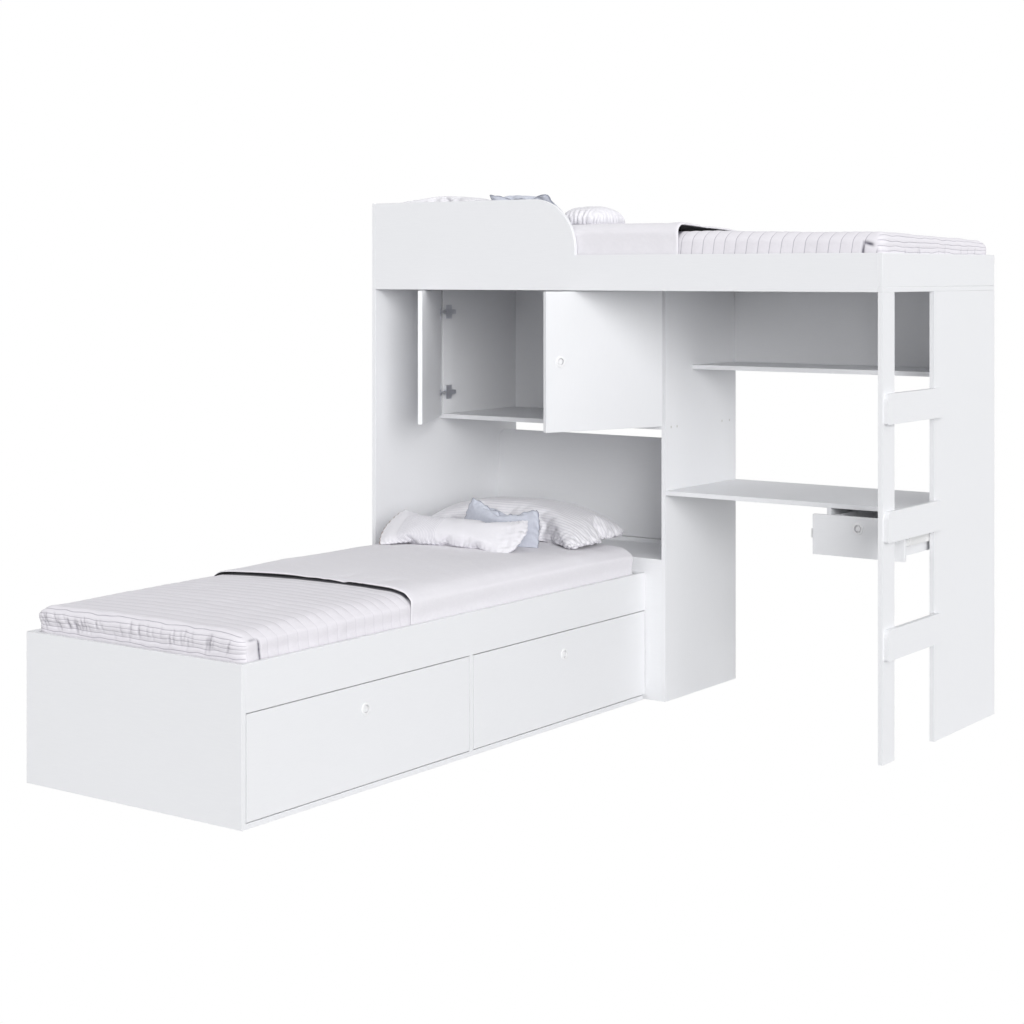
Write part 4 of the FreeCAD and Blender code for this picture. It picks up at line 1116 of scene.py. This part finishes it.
def rim_creases(pillow, values, pitch, reach, depth):
    """Small gathers where the two panels are sewn together, and how near each point is to the
    seam between them."""
    end = pillow.length / 2 - np.abs(values["along"])
    side = pillow.width / 2 - np.abs(values["across"])
    away = np.minimum(end, side)
    run = np.where(end < side, values["across"], values["along"])
    wander = ripple(panel_places(values), 60 * MM, 7) * 2.2
    gather = np.sin(2 * math.pi * run / pitch + wander) * np.exp(-away / reach) * depth
    return gather, np.exp(-((away / (2.6 * MM)) ** 2))


def sewn_plain(pillow, points, values):
    """A plain pillowcase with a knife-edge seam."""
    gather, seam_and_painted_shade = rim_creases(pillow, values, 26 * MM, 30 * MM, 2.2 * MM)
    puff = ripple(points, 110 * MM, 41) * 1.8 * MM
    zero = np.zeros(len(points))
    return gather + puff, {"seam_and_painted_shade": seam_and_painted_shade * 0.5, "band": zero, "pleat": zero, "trim": zero}


def sewn_ribbed(pillow, points, values):
    """A ribbed cover whose ribs run along the pillow, gathered at its two ends."""
    end = pillow.length / 2 - np.abs(values["along"])
    where = panel_places(values)
    across = values["across"]
    phase = across / (15 * MM) + ripple(where, 200 * MM, 43) * 0.25
    gather, seam_and_painted_shade = rim_creases(pillow, values, 30 * MM, 34 * MM, 3.2 * MM)
    pinch = np.exp(-end / (45 * MM)) * np.sin(across / (11 * MM) + ripple(where, 70 * MM, 44) * 3)
    puff = ripple(points, 130 * MM, 45) * 2.4 * MM
    lift = rib(phase, 0.7) * 1.5 * MM + gather + puff + pinch * 3.0 * MM
    # Painted shade: the pinched gathers at the two ends are coloured darker, on top of the seam line.
    dark = seam_and_painted_shade * 0.5 + np.clip(-pinch - 0.35, 0, 1) * 0.5
    return lift, {"rib_along": phase, "seam_and_painted_shade": np.clip(dark, 0, 1)}


def sewn_piped(pillow, points, values):
    """A square cushion with a thin piped edge and one soft fold."""
    gather, seam_and_painted_shade = rim_creases(pillow, values, 34 * MM, 26 * MM, 1.6 * MM)
    piping = seam_and_painted_shade * 2.4 * MM
    fold = np.sin(values["along"] / (38 * MM) + values["across"] / (60 * MM)) * 1.8 * MM
    return gather + piping + fold + ripple(points, 90 * MM, 47) * 1.6 * MM, {"seam_and_painted_shade": seam_and_painted_shade}


def sewn_banded(pillow, points, values):
    """A long cushion with a trimmed left end, a finely pleated band and a gathered right end."""
    along = values["along"]
    share = along / pillow.length
    band = smoothstep(share, -0.35, -0.345) * (1 - smoothstep(share, -0.065, -0.06))
    pleat = along / (6.5 * MM)
    gather, seam_and_painted_shade = rim_creases(pillow, values, 20 * MM, 22 * MM, 1.6 * MM)
    crinkle = smoothstep(share, 0.28, 0.48) * ripple(panel_places(values, 0.03), 26 * MM, 48) * 2.2 * MM
    step = (smoothstep(share, -0.35, -0.34) - smoothstep(share, -0.07, -0.06)) * 1.4 * MM
    trim = 1 - smoothstep(share, -0.49, -0.482)
    pleats = rib(pleat, 1.0) * 0.7 * MM * band
    lift = gather + crinkle + step + pleats + ripple(points, 80 * MM, 49) * 1.2 * MM
    return lift, {"seam_and_painted_shade": seam_and_painted_shade * 0.5, "band": band, "pleat": pleat, "trim": trim}


LYING, STANDING = (0, 1, 2), (0, 2, 1)
PILLOWS = [
    Pillow(
        "lower_long_cushion", "lower_long_pillow", LYING, PALE_COTTON, "pale_cotton",
        sewn_banded, LOWER, cut=(570, 165, 80), lean=42,
    ),
    Pillow(
        "lower_square_cushion", "lower_square_pillow", STANDING, GREY_COTTON, "grey_cotton",
        sewn_piped, LOWER, cut=(320, 270, 80), turn=-7, sink=90, full=0.11,
    ),
    Pillow(
        "lower_sleeping_pillow", "lower_big_pillow", LYING, STRIPED_COTTON, "striped_cotton",
        sewn_ribbed, LOWER, cut=(700, 435, 150), inset=(12, 0, 0), pressed=0.14, skew=-0.17,
        crown=0.85,
    ),
    Pillow(
        "loft_sleeping_pillow", "loft_striped_pillow", LYING, STRIPED_COTTON, "striped_cotton",
        sewn_ribbed, LOFT, cut=(420, 540, 130), lean=-12, full=0.1, crown=0.6,
    ),
    Pillow(
        "loft_leaning_cushion", "loft_grey_pillow", LYING, GREY_COTTON, "grey_cotton",
        sewn_piped, LOFT, cut=(240, 270, 80), lean=-42, full=0.03,
    ),
    Pillow(
        "loft_small_pillow", "loft_white_pillow", LYING, PALE_COTTON, "pale_cotton",
        sewn_plain, LOFT, cut=(220, 250, 110), inset=(72, 40, 0), full=0.12, pressed=0.2,
        skew=-0.2, crown=0.42,
    ),
]


def pillows():
    """Blow all the pillows up, then finish each."""
    shapes = puff_up([pillow.panels for pillow in PILLOWS])
    for pillow, shape in zip(PILLOWS, shapes):
        pillow.panels.modifiers.clear()
        pillow.make(shape)


pillows()


# ---------------------------------------------------------------- floor, light and camera


FLOOR_REACH = 60.0
SUN_AROUND, SUN_UP = math.radians(50), math.radians(13)
LENS = 69.42
SHIFT_DOWN = 0.2322
CAMERA_AT = (3.4195, -4.8731, 1.4181)
CAMERA_TURN = math.radians(35.85)


def plain_white_when_seen(tree, lit, white, surface):
    """Give a surface its lit shader, and plain white where the camera sees it directly."""
    path = add(tree, "ShaderNodeLightPath")
    seen = add(tree, "ShaderNodeMixShader")
    join(tree, path.outputs["Is Camera Ray"], seen.inputs[0])
    join(tree, lit, seen.inputs[1])
    join(tree, white, seen.inputs[2])
    join(tree, seen.outputs[0], surface)


def pale_floor():
    """A plain pale floor that reaches far beyond the bed."""
    reach = FLOOR_REACH
    mesh = bpy.data.meshes.new("floor")
    corners = [(-reach, -reach, 0), (reach, -reach, 0), (reach, reach, 0), (-reach, reach, 0)]
    mesh.from_pydata(corners, [], [(0, 1, 2, 3)])
    material, tree, shader = new_material("pale_floor")
    marks = use_group(tree, HANDLING, **{"Patch Size": (0.7, 0.7, 0.7)})
    pale = blend_colours(tree, marks.outputs["Patches"], (0.52, 0.52, 0.52, 1), (0.5, 0.5, 0.5, 1))
    join(tree, pale, shader.inputs["Base Color"])
    shader.inputs["Roughness"].default_value = 0.95
    white = add(tree, "ShaderNodeEmission", Color=(1, 1, 1, 1), Strength=1.0)
    surface = tree.nodes["Material Output"].inputs["Surface"]
    plain_white_when_seen(tree, shader.outputs[0], white.outputs[0], surface)
    mesh.materials.append(material)
    floor = put_in_scene("floor", mesh)


def white_surround():
    """A white surround that gives a little more light from above."""
    world = bpy.data.worlds.new("white_surround")
    world.use_nodes = True
    bpy.context.scene.world = world
    tree = world.node_tree
    white = add(tree, "ShaderNodeBackground", Color=(1, 1, 1, 1), Strength=1.0)
    lit = tree.nodes["Background"]
    lit.inputs["Color"].default_value = (0.985, 0.99, 1.0, 1)
    place = add(tree, "ShaderNodeTexCoord")
    split = add(tree, "ShaderNodeSeparateXYZ", Vector=place.outputs["Generated"])
    overhead = spread_range(tree, split.outputs["Z"], 0.0, 1.0, 0.66, 0.76)
    join(tree, overhead, lit.inputs["Strength"])
    surface = tree.nodes["World Output"].inputs["Surface"]
    plain_white_when_seen(tree, lit.outputs[0], white.outputs[0], surface)


def broad_soft_light():
    """One broad soft light from the front and the right, a little above the bed."""
    light = bpy.data.lights.new("broad_soft_light", "SUN")
    light.energy = 2.35
    light.angle = math.radians(35)
    lamp = put_in_scene("broad_soft_light", light)
    level = math.cos(SUN_UP)
    towards = Vector((math.sin(SUN_AROUND) * level, -math.cos(SUN_AROUND) * level, math.sin(SUN_UP)))
    lamp.rotation_euler = towards.to_track_quat("Z", "Y").to_euler()


def camera():
    """A long lens a little above the bed, turned towards the desk, with its frame shifted down."""
    lens = bpy.data.cameras.new("camera")
    lens.sensor_width = 36
    lens.lens = LENS
    lens.shift_y = -SHIFT_DOWN
    seat = put_in_scene("camera", lens)
    seat.location = CAMERA_AT
    seat.rotation_euler = (math.radians(90), 0, CAMERA_TURN)
    bpy.context.scene.camera = seat
    bpy.context.scene.view_settings.view_transform = "Standard"


pale_floor()
white_surround()
broad_soft_light()
camera()
